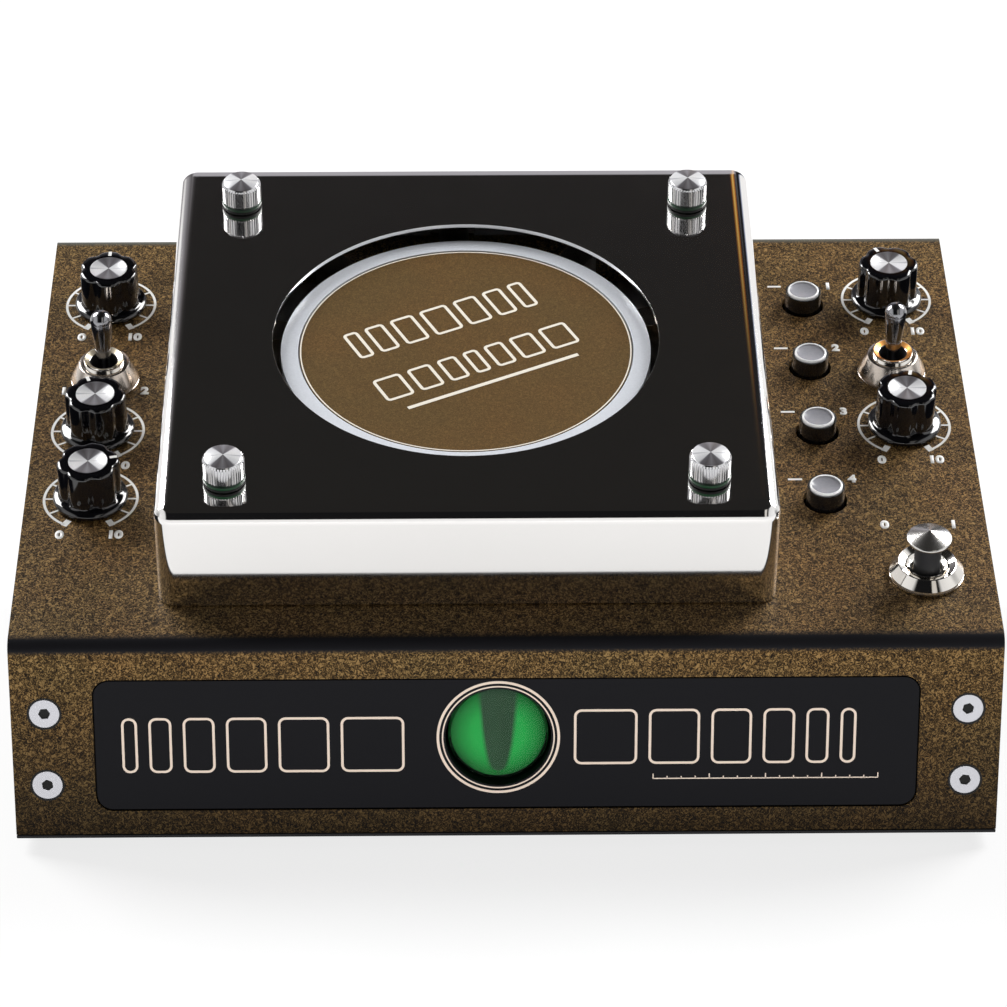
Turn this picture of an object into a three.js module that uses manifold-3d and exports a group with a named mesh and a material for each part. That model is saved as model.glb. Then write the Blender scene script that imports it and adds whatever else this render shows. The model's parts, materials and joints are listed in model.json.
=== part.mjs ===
// A tabletop drum echo unit. A sloping steel console carries controls down both sides, a polished
// cover with a round window over a spinning magnetic drum, and a green level eye in its front.
// Millimetres, +Z up. The origin is on the ground, under the middle of the bounding box.
// Pieces on the sloping panel are placed by x, by their way up the slope from the front bend,
// and by their height square to the panel.
import * as THREE from "three";
import { mergeVertices } from "three/addons/utils/BufferGeometryUtils.js";
import Module from "manifold-3d";

const wasm = await Module();
wasm.setup();

// General sizes
const seat = 0.3; // the gap between two pieces that touch
const overrun = 1; // how far a cut runs past a face
const smallSides = 16;
const largeSides = 48;
const bendSteps = 4;

// Console
const consoleWidth = 280;
const frontHeight = 60.8; // underside of the base to the sharp line of the front bend
const panelLength = 198.2; // up the slope, from bend to bend
const panelSlope = THREE.MathUtils.degToRad(16.94);
const sheet = 2;
const frontBendRadius = 4.2;
const rearBendRadius = 4.2;
const baseThickness = 1;
const baseLipHeight = 4;
const endFlangeWidth = 15;
const endFlangeBottom = 12; // above the underside of the base
const endFlangeTop = 52;
const footHeight = 4;
const footRadius = 7;
const footTaper = 0.8;
const footInset = 20; // foot centre to the console's edges

// Front plate, level eye and front screws
const plateMargin = 23.5; // to each end of the console
const plateHeight = 40.1;
const plateBottom = 9; // above the underside of the base
const plateCorner = 4.5;
const plateThickness = 3.5;
const plateRecess = 0.2; // behind the front face
const plateGap = 0.4; // all round, in the console's opening
const plateFlange = 2.4; // the rear rim that bears on the inside of the front
const plateFlangeThickness = 1.2;
const eyeX = -2.4;
const eyeHeight = 31; // above the underside of the base
const eyeHoleRadius = 15;
const eyeGlassRadius = 14.2;
const eyeGlassLength = 44;
const eyeDepth = 2; // from the front face back to the glass
const eyeEdge = 1.2; // rounding of the glass
const eyeBaseRadius = 15.5;
const eyeBaseLength = 13;
const eyeSocketRadius = 14;
const eyeSocketLength = 6;
const eyeBracketWidth = 36;
const eyeBracketTop = 52; // above the underside of the base
const screwInset = 9.5; // screw centre to the end of the console
const screwHeights = { lower: 16.9, upper: 39.2 }; // above the underside of the base
const screwHeadRadius = 4.4;
const screwHeadDepth = 1.9;
const screwRadius = 2.5;
const screwLength = 12;
const screwHexFlats = 3;
const screwHexDepth = 1.6;

// Drum cover and its thumb nuts
const coverMargins = { left: 41.3, right: 63.1, front: 15.9, rear: 11.4 }; // to the panel's edges
const coverHeight = 33.6;
const coverSheet = 1.2;
const coverCorner = 4.5; // rounding between two walls
const coverEdge = 4.2; // rounding between the top and the walls
const windowGap = 2.3; // round the drum
const studInsets = { side: 19.6, end: 17.85 }; // taken off the cover's size, to space the studs
const studRadius = 3;
const studHoleRadius = 3.4;
const nutRadius = 5.9;
const nutHeight = 9.2;
const nutRidgeDepth = 0.3;
const nutRidges = 12;
const nutCrown = 1; // height of the shallow cone on top
const nutWasherRadius = 6;
const nutWasherThickness = 1.6;
const nutFloor = 1.6; // solid metal over the stud

// Deck, drum and drive
const deckOpeningCorner = 8;
const deckOpeningGap = 1.1; // round the feet of the heads
const deckLedge = 7; // deck past the opening, under the panel
const deckStudMargin = 15; // deck past the studs
const deckThickness = 4;
const drumShift = -3.05; // from the middle of the cover, for the drum and the studs
const drumShare = 0.319; // its radius, of the cover's shorter side
const drumBottom = 8; // above the panel
const drumTop = 29.1;
const drumHubRadius = 10;
const labelMargin = 5.5; // bare rim round the label
const labelThickness = 0.8;
const labelSunk = 0.2; // below the top of the rim
const labelGap = 0.4; // round the label, inside the rim
const spindleRadius = 3;
const spindleTopGap = 0.5; // under the drum's top
const bearingRadius = 8;
const bearingFlangeRadius = 14;
const bearingFlangeThickness = 3;
const bearingTop = 5;
const bearingLength = 34;
const bearingPlay = 0.3;
const drumPulleyRadius = 24;
const motorPulleyRadius = 6;
const pulleyFlange = 2;
const pulleyFlangeThickness = 1;
const beltWidth = 4;
const beltThickness = 1.2;
const beltPlay = 0.5; // beside the belt, between the flanges
const beltDepth = 44.5; // the belt's middle, below the panel
const motorInset = 2.5; // motor shaft inside the drum's rim
const motorBearing = THREE.MathUtils.degToRad(35); // direction from the spindle to the motor
const motorRadius = 16;
const motorLength = 29;
const motorShaftRadius = 1.6;
const motorShaftDepth = 4; // inside the motor

// Heads round the drum, in the order that the drum passes them
const headNames = [
  "erase_head",
  "record_head_1",
  "record_head_2",
  "playback_head_1",
  "playback_head_2",
  "playback_head_3",
  "playback_head_4",
];
const headGap = 0.4; // to the drum
const headWidth = 9;
const headDepth = 12;
const headBottom = 11;
const headTop = 25;
const headPostThickness = 7;
const headFootWidth = 14;
const headFootDepth = 15;
const headFootThickness = 2;
const firstHeadAngle = THREE.MathUtils.degToRad(165);
const headPitch = THREE.MathUtils.degToRad(-36);

// Rotary knobs and their boards, in a column down each side
const columnSides = ["left", "right"];
const columnInsets = { left: 19.2, right: 19.8 }; // column's middle to the console's end
const columnShares = { left: 0.567, right: 0.652 }; // column's middle up the panel
const leftKnobSteps = [47.6, -15.8, -47.9]; // from the column's middle, rearmost first
const rightKnobSteps = [31.8, -31.8];
const knobRadius = 9.15;
const knobTop = 14.3;
const knobFlutes = 6;
const knobFluteDepth = 0.9;
const knobFluteSteps = 6;
const knobPointers = { left: [0, -20, 77], right: [-26, 12] }; // degrees clockwise from straight up the panel
const knobSkirtRadius = 11;
const knobSkirtBottom = 0.6;
const knobSkirtTop = 2.4;
const knobHollowRadius = 7.3;
const knobHollowTop = 5;
const knobShaftRadius = 3;
const knobShaftBottom = -9;
const potRadius = 8;
const potDepth = 10;
const potBushRadius = 4.5;
const potBushTop = 4;
const potNutRadius = 6.3;
const potNutThickness = 2;
const potPlay = 0.3;
const boardThickness = 1.6;
const potBoardWidth = 24;
const potBoardMargin = 11; // past the outer knob centres
const potBoardSlotMargin = 1; // round a switch body that passes through

// Toggle switches
const toggleSteps = { left: 9.3, right: -5.5 }; // from the column's middle
const toggleShifts = { left: 0.65, right: -1.6 }; // along X, from the column
const toggleBodyWidth = 13;
const toggleBodyLength = 21;
const toggleBodyDepth = 17;
const bushRadius = 6; // the threaded bush, on the toggles and on the bypass switch
const bushTop = 8.4;
const bushBoreRadius = 4.3;
const bushRim = 1; // chamfer at the mouth of the bore
const holeGap = 0.3; // round a bush in the panel
const dressNutRadius = 10.25;
const dressNutTopRadius = 7.65;
const dressNutBand = 1; // straight rim at the foot
const dressNutHeight = 6.8;
const leverPivot = 1.5; // height of the pivot
const leverBallRadius = 3.8;
const leverNeckRadius = 1.9;
const leverTipRadius = 3.3;
const leverTop = 25.7;
const leverTipLength = 3.4;
const leverBoreDepth = 5; // below the pivot

// Playback push buttons
const buttonShift = -26.2; // from the right column
const buttonShare = 0.557; // middle of the row, up the panel
const buttonSteps = [48.1, 16, -15.8, -48.2];
const buttonRadius = 4.85;
const buttonTop = 5.9;
const buttonBottom = 2.4;
const buttonHousingRadius = 6.25;
const buttonHousingTopRadius = 5.9;
const buttonHousingTop = 5.4;
const buttonGap = 0.3;
const buttonTravel = 1.5;
const buttonBoardDepth = 7.5;
const buttonBoardWidth = 14;
const buttonBoardMargin = 10;

// Bypass switch
const bypassShift = 0.2; // from the right column
const bypassShare = 0.1438; // up the panel
const bypassBodySide = 17;
const bypassBodyDepth = 24;
const bypassNutRadius = 10.7;
const bypassNutTopRadius = 8.5;
const bypassNutHeight = 4.4;
const bypassNutDish = 1; // its top falls to the bush by this
const bypassBushTop = 3.7;
const bypassStemRadius = 3.8;
const bypassCapRadius = 6.5;
const bypassCapBottom = 12.6;
const bypassCapRim = 1;
const bypassCapTop = 16;
const bypassStemBottom = -4;
const bypassTravel = 2.6;

// Main board and rear sockets
const mainBoardMargin = 35; // to each end of the console
const mainBoardFrontGap = 8; // to the bracket of the level eye
const mainBoardRearGap = 10; // to the rear face
const mainBoardStandoff = 8;
const standoffRadius = 3;
const standoffInset = 8;
const socketHeight = 45; // above the underside of the base
const jackInsets = { input: 70, output: 40 }; // to the right end of the console
const jackRadius = 4.6;
const jackBoreRadius = 3.35;
const jackBoreDepth = 24;
const jackProud = 4; // past the rear face
const jackNutRadius = 6.5;
const jackNutThickness = 2.4;
const jackBodyWidth = 16;
const jackBodyLength = 22;
const inletInset = 50; // to the left end of the console
const inletRadius = 5.5;
const inletBoreRadius = 2.8;
const inletPinRadius = 1;
const inletBoreDepth = 9;
const inletPinSunk = 1.5;
const inletNutRadius = 7.5;
const inletBodyWidth = 14;
const inletBodyLength = 10;

// Places worked out from the sizes
const consoleDepth = panelLength * Math.cos(panelSlope);
const rearHeight = frontHeight + panelLength * Math.sin(panelSlope);
const frontY = -(consoleDepth + jackProud) / 2;
const rearY = frontY + consoleDepth;
const baseZ = footHeight;
const baseTopZ = baseZ + baseThickness;
const plateWidth = consoleWidth - 2 * plateMargin;
const screwX = consoleWidth / 2 - screwInset;
const coverWidth = consoleWidth - coverMargins.left - coverMargins.right;
const coverLength = panelLength - coverMargins.front - coverMargins.rear;
const coverX = (coverMargins.left - coverMargins.right) / 2;
const coverWay = coverMargins.front + coverLength / 2;
const coverShortSide = Math.min(coverWidth, coverLength);
const studSpacings = { across: coverWidth - 2 * studInsets.side, along: coverLength - 2 * studInsets.end };
const drumWay = coverWay + drumShift;
const drumRadius = coverShortSide * drumShare;
const windowRadius = drumRadius + windowGap;
const labelRadius = drumRadius - labelMargin;
const headReach = drumRadius + headGap + headDepth - headPostThickness + headFootDepth;
const deckOpening = 2 * (headReach + deckOpeningGap);
const deckReach = deckOpening + 2 * deckLedge;
const deckWidth = Math.max(deckReach, studSpacings.across + 2 * deckStudMargin);
const deckLength = Math.max(deckReach, studSpacings.along + 2 * deckStudMargin);
const deckTop = -sheet - seat;
const deckBottom = deckTop - deckThickness;
const pulleyHeight = beltWidth + 2 * (beltPlay + pulleyFlangeThickness);
const pulleyLow = -beltDepth - pulleyHeight / 2;
const pulleyHigh = -beltDepth + pulleyHeight / 2;
const motorDistance = drumRadius - motorInset; // from the drum's spindle
const motorX = coverX + motorDistance * Math.cos(motorBearing);
const motorWay = drumWay + motorDistance * Math.sin(motorBearing);
const motorLow = deckBottom - seat - motorLength;
const potLow = -sheet - seat - potDepth;
const columnXs = { left: columnInsets.left - consoleWidth / 2, right: consoleWidth / 2 - columnInsets.right };
const columnWays = { left: panelLength * columnShares.left, right: panelLength * columnShares.right };
const knobWays = {
  left: leftKnobSteps.map((step) => columnWays.left + step),
  right: rightKnobSteps.map((step) => columnWays.right + step),
};
const toggleXs = { left: columnXs.left + toggleShifts.left, right: columnXs.right + toggleShifts.right };
const toggleWays = { left: columnWays.left + toggleSteps.left, right: columnWays.right + toggleSteps.right };
const buttonX = columnXs.right + buttonShift;
const buttonWays = buttonSteps.map((step) => panelLength * buttonShare + step);
const bypassX = columnXs.right + bypassShift;
const bypassWay = panelLength * bypassShare;
const mainBoardWidth = consoleWidth - 2 * mainBoardMargin;
const eyeReach = eyeDepth + eyeGlassLength + eyeBaseLength + seat + eyeSocketLength + sheet;
const mainBoardLength = consoleDepth - eyeReach - mainBoardFrontGap - mainBoardRearGap;
const jackXs = { input: consoleWidth / 2 - jackInsets.input, output: consoleWidth / 2 - jackInsets.output };
const inletX = inletInset - consoleWidth / 2;

// Solids, cuts and joins

function solidOf(geometry) {
  const bare = geometry.clone();
  bare.deleteAttribute("normal");
  bare.deleteAttribute("uv");
  const merged = mergeVertices(bare);
  return new wasm.Manifold(
    new wasm.Mesh({
      numProp: 3,
      vertProperties: merged.attributes.position.array,
      triVerts: new Uint32Array(merged.index.array),
    }),
  );
}

function geometryOf(solid) {
  const mesh = solid.getMesh();
  const geometry = new THREE.BufferGeometry();
  geometry.setAttribute("position", new THREE.BufferAttribute(mesh.vertProperties, 3));
  geometry.setIndex(new THREE.BufferAttribute(mesh.triVerts, 1));
  return geometry;
}

function join(...geometries) {
  return geometryOf(geometries.map(solidOf).reduce((all, next) => all.add(next)));
}

function cut(geometry, ...tools) {
  return geometryOf(tools.map(solidOf).reduce((rest, tool) => rest.subtract(tool), solidOf(geometry)));
}

function keepInside(geometry, limit) {
  return geometryOf(solidOf(geometry).intersect(solidOf(limit)));
}

// Plain shapes

// A box between two corners.
function block(lowX, highX, lowY, highY, lowZ, highZ) {
  const box = new THREE.BoxGeometry(highX - lowX, highY - lowY, highZ - lowZ);
  return box.translate((lowX + highX) / 2, (lowY + highY) / 2, (lowZ + highZ) / 2);
}

// A round bar along Z, which may taper.
function rod(radius, low, high, topRadius = radius, sides = smallSides) {
  const bar = new THREE.CylinderGeometry(topRadius, radius, high - low, sides);
  return bar.rotateX(Math.PI / 2).translate(0, 0, (low + high) / 2);
}

// A turned piece about Z, from points of radius and height that run outwards and up.
function turned(outline, sides = smallSides) {
  const profile = outline.map(([radius, height]) => new THREE.Vector2(radius, height));
  return new THREE.LatheGeometry(profile, sides).rotateX(Math.PI / 2);
}

// The same with a bore: the outline closes on itself.
function turnedRing(outline, sides = smallSides) {
  return turned([...outline, outline[0]], sides);
}

// A flat outline raised along Z between two heights.
function raised(shape, low, high, curveSegments = bendSteps) {
  const plate = new THREE.ExtrudeGeometry(shape, { depth: high - low, bevelEnabled: false, curveSegments });
  return plate.translate(0, 0, low);
}

// An outline in Y and Z, drawn along X between two places.
function drawnAlongX(shape, low, high) {
  const bar = raised(shape, low, high);
  const axes = new THREE.Matrix4().makeBasis(
    new THREE.Vector3(0, 1, 0),
    new THREE.Vector3(0, 0, 1),
    new THREE.Vector3(1, 0, 0),
  );
  return bar.applyMatrix4(axes);
}

// A polygon, anticlockwise, whose corners may be rounded: each is [x, y, radius].
function roundedOutline(corners) {
  const shape = new THREE.Shape();
  corners.forEach(([x, y, radius], index) => {
    const corner = new THREE.Vector2(x, y);
    const before = corners.at(index - 1);
    const after = corners[(index + 1) % corners.length];
    const inward = new THREE.Vector2(before[0], before[1]).sub(corner).normalize();
    const outward = new THREE.Vector2(after[0], after[1]).sub(corner).normalize();
    const halfAngle = Math.acos(inward.dot(outward)) / 2;
    const start = corner.clone().addScaledVector(inward, radius / Math.tan(halfAngle));
    if (index === 0) shape.moveTo(start.x, start.y);
    else shape.lineTo(start.x, start.y);
    if (radius > 0) {
      const centre = inward.clone().add(outward).normalize();
      centre.multiplyScalar(radius / Math.sin(halfAngle)).add(corner);
      const from = start.clone().sub(centre).angle();
      const end = corner.clone().addScaledVector(outward, radius / Math.tan(halfAngle));
      const to = end.sub(centre).angle();
      shape.absarc(centre.x, centre.y, radius, from, to, false);
    }
  });
  shape.closePath();
  return shape;
}

// A rectangle about a centre, with rounded corners.
function roundedRectangle(width, length, radius) {
  return roundedOutline([
    [-width / 2, -length / 2, radius],
    [width / 2, -length / 2, radius],
    [width / 2, length / 2, radius],
    [-width / 2, length / 2, radius],
  ]);
}

// The scene graph

const root = new THREE.Group();
const slope = new THREE.Group(); // x, way up the slope, height off the panel
slope.position.set(0, frontY, baseZ + frontHeight);
slope.rotation.x = panelSlope;
slope.updateMatrix();
root.add(slope);

const finishes = {
  hammered: { color: "#5f4d31", roughness: 0.45, metalness: 0.4 },
  blackSteel: { color: "#1c1c1d", roughness: 0.6, metalness: 0.3 },
  rubber: { color: "#151515", roughness: 0.9, metalness: 0 },
  blackGloss: { color: "#141416", roughness: 0.2, metalness: 0 },
  blackMatte: { color: "#222224", roughness: 0.6, metalness: 0 },
  greenGlass: { color: "#1f8a3e", roughness: 0.15, metalness: 0 },
  chrome: { color: "#c8c8c8", roughness: 0.08, metalness: 1 },
  polished: { color: "#a8a39c", roughness: 0.06, metalness: 1 },
  silver: { color: "#c9ccd2", roughness: 0.3, metalness: 1 },
  zinc: { color: "#a9acb0", roughness: 0.45, metalness: 0.9 },
  bronze: { color: "#9a6b3a", roughness: 0.4, metalness: 0.9 },
  board: { color: "#1d5b34", roughness: 0.6, metalness: 0 },
  greyPlastic: { color: "#b4b4b8", roughness: 0.35, metalness: 0 },
};

function addPiece(parent, name, finish, geometry, x = 0, y = 0, z = 0) {
  const mesh = new THREE.Mesh(geometry, new THREE.MeshStandardMaterial(finishes[finish]));
  mesh.name = name;
  mesh.position.set(x, y, z);
  parent.add(mesh);
  return mesh;
}

// Console: shell, ends, base and feet

// The console's wedge seen from its end, drawn in from the outer faces by an inset.
function wedge(inset, bottom) {
  const drop = inset / Math.cos(panelSlope);
  const rise = inset * Math.tan(panelSlope);
  return roundedOutline([
    [frontY + inset, bottom, 0],
    [rearY - inset, bottom, 0],
    [rearY - inset, baseZ + rearHeight - drop - rise, rearBendRadius - Math.min(inset, rearBendRadius / 2)],
    [frontY + inset, baseZ + frontHeight - drop + rise, frontBendRadius - Math.min(inset, frontBendRadius / 2)],
  ]);
}

// Turned pieces are made along Z: these turn them to face out of the front or the rear.
function facingFront(geometry) {
  return geometry.rotateX(Math.PI / 2);
}

function facingRear(geometry) {
  return geometry.rotateX(-Math.PI / 2);
}

function onSlope(geometry, x, way) {
  return geometry.translate(x, way, 0).applyMatrix4(slope.matrix);
}

function panelHole(radius, x, way) {
  return onSlope(rod(radius, -sheet - overrun, overrun), x, way);
}

function platePanel(grow, low, high) {
  const shape = roundedRectangle(plateWidth + 2 * grow, plateHeight + 2 * grow, plateCorner + grow);
  const middle = baseZ + plateBottom + plateHeight / 2;
  return facingFront(raised(shape, low, high)).translate(0, frontY, middle);
}

function screwCountersink(x, height) {
  const head = turned([
    [0, -sheet - overrun],
    [screwRadius + seat, -sheet - overrun],
    [screwRadius + seat, -screwHeadDepth],
    [screwHeadRadius + seat, 0],
    [screwHeadRadius + seat, overrun],
    [0, overrun],
  ]);
  return facingFront(head).translate(x, frontY, baseZ + height);
}

const screwPlaces = Object.entries(screwHeights).flatMap(([level, height]) => [
  { name: `front_screw_left_${level}`, x: -screwX, height },
  { name: `front_screw_right_${level}`, x: screwX, height },
]);

function makeShell() {
  const bottom = baseTopZ + seat;
  const outer = drawnAlongX(wedge(0, bottom), -consoleWidth / 2, consoleWidth / 2);
  const low = bottom - overrun;
  const inner = drawnAlongX(wedge(sheet, low), -consoleWidth / 2 - overrun, consoleWidth / 2 + overrun);
  const opening = roundedRectangle(deckOpening, deckOpening, deckOpeningCorner);
  const knobPlaces = columnSides.flatMap((side) => knobWays[side].map((way) => [columnXs[side], way]));
  const bushPlaces = [
    ...columnSides.map((side) => [toggleXs[side], toggleWays[side]]),
    [bypassX, bypassWay],
  ];
  const rearHole = (radius, x) => {
    const drill = facingRear(rod(radius, -sheet - overrun, overrun));
    return drill.translate(x, rearY, baseZ + socketHeight);
  };
  return cut(
    outer,
    inner,
    onSlope(raised(opening, -sheet - overrun, overrun), coverX, drumWay),
    platePanel(plateGap, -sheet - overrun, overrun),
    ...knobPlaces.map(([x, way]) => panelHole(potBushRadius + holeGap, x, way)),
    ...bushPlaces.map(([x, way]) => panelHole(bushRadius + holeGap, x, way)),
    ...buttonWays.map((way) => panelHole(buttonHousingRadius + holeGap, buttonX, way)),
    ...screwPlaces.map(({ x, height }) => screwCountersink(x, height)),
    ...Object.values(jackXs).map((x) => rearHole(jackRadius + holeGap, x)),
    rearHole(inletRadius + holeGap, inletX),
  );
}

// An end closes the wedge. Its front flange takes the front screws.
function makeEnd(side) {
  const outside = (side * consoleWidth) / 2;
  const inside = outside - side * sheet;
  const span = (near, far) => [Math.min(near, far), Math.max(near, far)];
  const panel = drawnAlongX(wedge(sheet + seat, baseTopZ + seat), ...span(outside, inside));
  const flangeSpan = span(inside + (side * sheet) / 2, inside - side * endFlangeWidth);
  const flangeHeights = [baseZ + endFlangeBottom, baseZ + endFlangeTop];
  const flangeY = frontY + sheet + seat;
  const flange = block(...flangeSpan, flangeY, flangeY + sheet, ...flangeHeights);
  const holes = Object.values(screwHeights).map((height) => {
    const drill = facingFront(rod(screwRadius + seat, -overrun, 2 * sheet));
    return drill.translate(side * screwX, flangeY + sheet + seat, baseZ + height);
  });
  return cut(join(panel, flange), ...holes);
}

function makeBase() {
  const half = consoleWidth / 2;
  const plate = block(-half, half, frontY, rearY, baseZ, baseTopZ);
  const lipHalf = half - sheet - 2 * seat;
  const lipTop = baseTopZ + baseLipHeight;
  const lip = (y) => block(-lipHalf, lipHalf, y, y + baseThickness, baseZ + baseThickness / 2, lipTop);
  return join(plate, lip(frontY + sheet + seat), lip(rearY - sheet - seat - baseThickness));
}

function addConsole() {
  addPiece(root, "chassis_shell", "hammered", makeShell());
  addPiece(root, "left_end_panel", "hammered", makeEnd(-1));
  addPiece(root, "right_end_panel", "hammered", makeEnd(1));
  addPiece(root, "base_plate", "blackSteel", makeBase());
  const footX = consoleWidth / 2 - footInset;
  const feet = [
    ["foot_front_left", -footX, frontY + footInset],
    ["foot_front_right", footX, frontY + footInset],
    ["foot_rear_left", -footX, rearY - footInset],
    ["foot_rear_right", footX, rearY - footInset],
  ];
  for (const [name, x, y] of feet) {
    addPiece(root, name, "rubber", rod(footRadius - footTaper, 0, footHeight - seat, footRadius), x, y);
  }
}

// Front: plate, level eye and screws

function makeFrontPlate() {
  const face = platePanel(0, -plateThickness, -plateRecess);
  const rimFront = -sheet - seat;
  const rim = platePanel(plateFlange, rimFront - plateFlangeThickness, rimFront);
  const hole = facingFront(rod(eyeHoleRadius, -2 * plateThickness, overrun, eyeHoleRadius, largeSides));
  return cut(join(face, rim), hole.translate(eyeX, frontY, baseZ + eyeHeight));
}

// The tube lies on its side with its screen facing out: a glass bulb on a moulded base.
function makeEyeTube() {
  const neck = -eyeDepth - eyeGlassLength;
  const tube = turned([
    [0, neck - eyeBaseLength],
    [eyeBaseRadius, neck - eyeBaseLength],
    [eyeBaseRadius, neck],
    [eyeGlassRadius, neck],
    [eyeGlassRadius, -eyeDepth - eyeEdge],
    [eyeGlassRadius - eyeEdge, -eyeDepth],
    [0, -eyeDepth],
  ]);
  return facingFront(tube);
}

function makeEyeSocket() {
  const front = -eyeDepth - eyeGlassLength - eyeBaseLength - seat;
  const back = front - eyeSocketLength;
  const socket = facingFront(rod(eyeSocketRadius, back, front));
  const half = eyeBracketWidth / 2;
  const top = eyeBracketTop - eyeHeight;
  const floor = baseThickness + seat - eyeHeight;
  return join(socket, block(-half, half, -back - sheet, -back + sheet, floor, top));
}

function makeFrontScrew() {
  const screw = turned([
    [0, -screwLength],
    [screwRadius, -screwLength],
    [screwRadius, -screwHeadDepth],
    [screwHeadRadius, 0],
    [0, 0],
  ]);
  const hexRadius = screwHexFlats / 2 / Math.cos(Math.PI / 6);
  const hex = rod(hexRadius, -screwHexDepth, overrun, hexRadius, 6);
  return facingFront(cut(screw, hex));
}

function addFront() {
  addPiece(root, "front_plate", "blackGloss", makeFrontPlate());
  addPiece(root, "eye_tube", "greenGlass", makeEyeTube(), eyeX, frontY, baseZ + eyeHeight);
  addPiece(root, "eye_tube_socket", "blackMatte", makeEyeSocket(), eyeX, frontY, baseZ + eyeHeight);
  for (const { name, x, height } of screwPlaces) {
    addPiece(root, name, "zinc", makeFrontScrew(), x, frontY, baseZ + height);
  }
}

// Deck, with the four studs that hold the cover

const studPlaces = [
  ["front_left", -1, -1],
  ["front_right", 1, -1],
  ["rear_left", -1, 1],
  ["rear_right", 1, 1],
].map(([name, sideX, sideWay]) => ({
  name,
  x: (sideX * studSpacings.across) / 2,
  way: (sideWay * studSpacings.along) / 2,
}));

function makeDeck() {
  const [halfX, halfY] = [deckWidth / 2, deckLength / 2];
  const plate = block(-halfX, halfX, -halfY, halfY, deckBottom, deckTop);
  const studTop = coverHeight + seat + nutHeight - nutFloor - seat;
  const studs = studPlaces.map(({ x, way }) => rod(studRadius, deckBottom, studTop).translate(x, way, 0));
  const bearingHole = rod(bearingRadius + holeGap, deckBottom - overrun, deckTop + overrun);
  return cut(join(plate, ...studs), bearingHole);
}

// The cover is a drawn box with rounded edges, open below.
function coverBox(inset, bottom) {
  const edge = coverEdge;
  const top = coverHeight - inset;
  const width = coverWidth - 2 * inset;
  const length = coverLength - 2 * inset;
  const shape = roundedRectangle(width - 2 * edge, length - 2 * edge, coverCorner - edge);
  const box = new THREE.ExtrudeGeometry(shape, {
    depth: top - bottom,
    bevelThickness: edge,
    bevelSize: edge,
    bevelSegments: 3,
    curveSegments: 3,
  });
  box.translate(0, 0, bottom - edge);
  return keepInside(box, block(-width, width, -length, length, bottom, top + overrun));
}

function makeCover() {
  const hole = rod(windowRadius, coverHeight / 2, coverHeight + overrun, windowRadius, largeSides);
  const studHoles = studPlaces.map(({ x, way }) =>
    rod(studHoleRadius, coverHeight / 2, coverHeight + overrun).translate(x, drumShift + way, 0),
  );
  const inner = coverBox(coverSheet, seat - overrun);
  return cut(coverBox(0, seat), inner, hole.translate(0, drumShift, 0), ...studHoles);
}

// A ridged nut with a captive washer under it and a blind bore for its stud.
function makeThumbNut() {
  const ridged = new THREE.Shape();
  for (let step = 0; step < 2 * nutRidges; step += 1) {
    const angle = (step * Math.PI) / nutRidges;
    const radius = nutRadius - (step % 2) * nutRidgeDepth;
    const [x, y] = [radius * Math.cos(angle), radius * Math.sin(angle)];
    if (step === 0) ridged.moveTo(x, y);
    else ridged.lineTo(x, y);
  }
  ridged.closePath();
  const low = coverHeight + seat;
  const shoulder = low + nutHeight - nutCrown;
  const body = raised(ridged, low + nutWasherThickness / 2, shoulder);
  const washer = rod(nutWasherRadius, low, low + nutWasherThickness);
  const crown = rod(nutRadius - 2 * nutRidgeDepth, shoulder - nutCrown, shoulder + nutCrown, nutCrown);
  const bore = rod(studRadius + seat, low - overrun, low + nutHeight - nutFloor);
  return cut(join(body, washer, crown), bore);
}

function addDeckAndCover() {
  addPiece(slope, "deck_plate", "silver", makeDeck(), coverX, drumWay);
  addPiece(slope, "drum_cover", "polished", makeCover(), coverX, coverWay);
  for (const { name, x, way } of studPlaces) {
    addPiece(slope, `thumb_nut_${name}`, "zinc", makeThumbNut(), coverX + x, drumWay + way);
  }
}

// Drum: rim, label, spindle, bearing and drive

const drumBoreRadius = spindleRadius + seat;
const labelPocket = drumTop - labelSunk - labelThickness - seat;

function makeDrum() {
  return turnedRing(
    [
      [drumBoreRadius, bearingTop + seat],
      [drumHubRadius, bearingTop + seat],
      [drumHubRadius, drumBottom],
      [drumRadius, drumBottom],
      [drumRadius, drumTop],
      [labelRadius + labelGap, drumTop],
      [labelRadius + labelGap, labelPocket],
      [drumBoreRadius, labelPocket],
    ],
    largeSides,
  );
}

// The points of a grooved pulley's rim, from its lower face to its upper one.
function pulleyRim(radius) {
  return [
    [radius + pulleyFlange, pulleyLow],
    [radius + pulleyFlange, pulleyLow + pulleyFlangeThickness],
    [radius, pulleyLow + pulleyFlangeThickness],
    [radius, pulleyHigh - pulleyFlangeThickness],
    [radius + pulleyFlange, pulleyHigh - pulleyFlangeThickness],
    [radius + pulleyFlange, pulleyHigh],
  ];
}

function makeSpindle() {
  return turned([
    [0, pulleyLow],
    ...pulleyRim(drumPulleyRadius),
    [spindleRadius, pulleyHigh],
    [spindleRadius, labelPocket - spindleTopGap],
    [0, labelPocket - spindleTopGap],
  ]);
}

function makeBearing() {
  const bore = spindleRadius + bearingPlay;
  const flangeLow = deckTop + seat;
  return turnedRing([
    [bore, bearingTop - bearingLength],
    [bearingRadius, bearingTop - bearingLength],
    [bearingRadius, flangeLow],
    [bearingFlangeRadius, flangeLow],
    [bearingFlangeRadius, flangeLow + bearingFlangeThickness],
    [bearingRadius, flangeLow + bearingFlangeThickness],
    [bearingRadius, bearingTop],
    [bore, bearingTop],
  ]);
}

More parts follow.
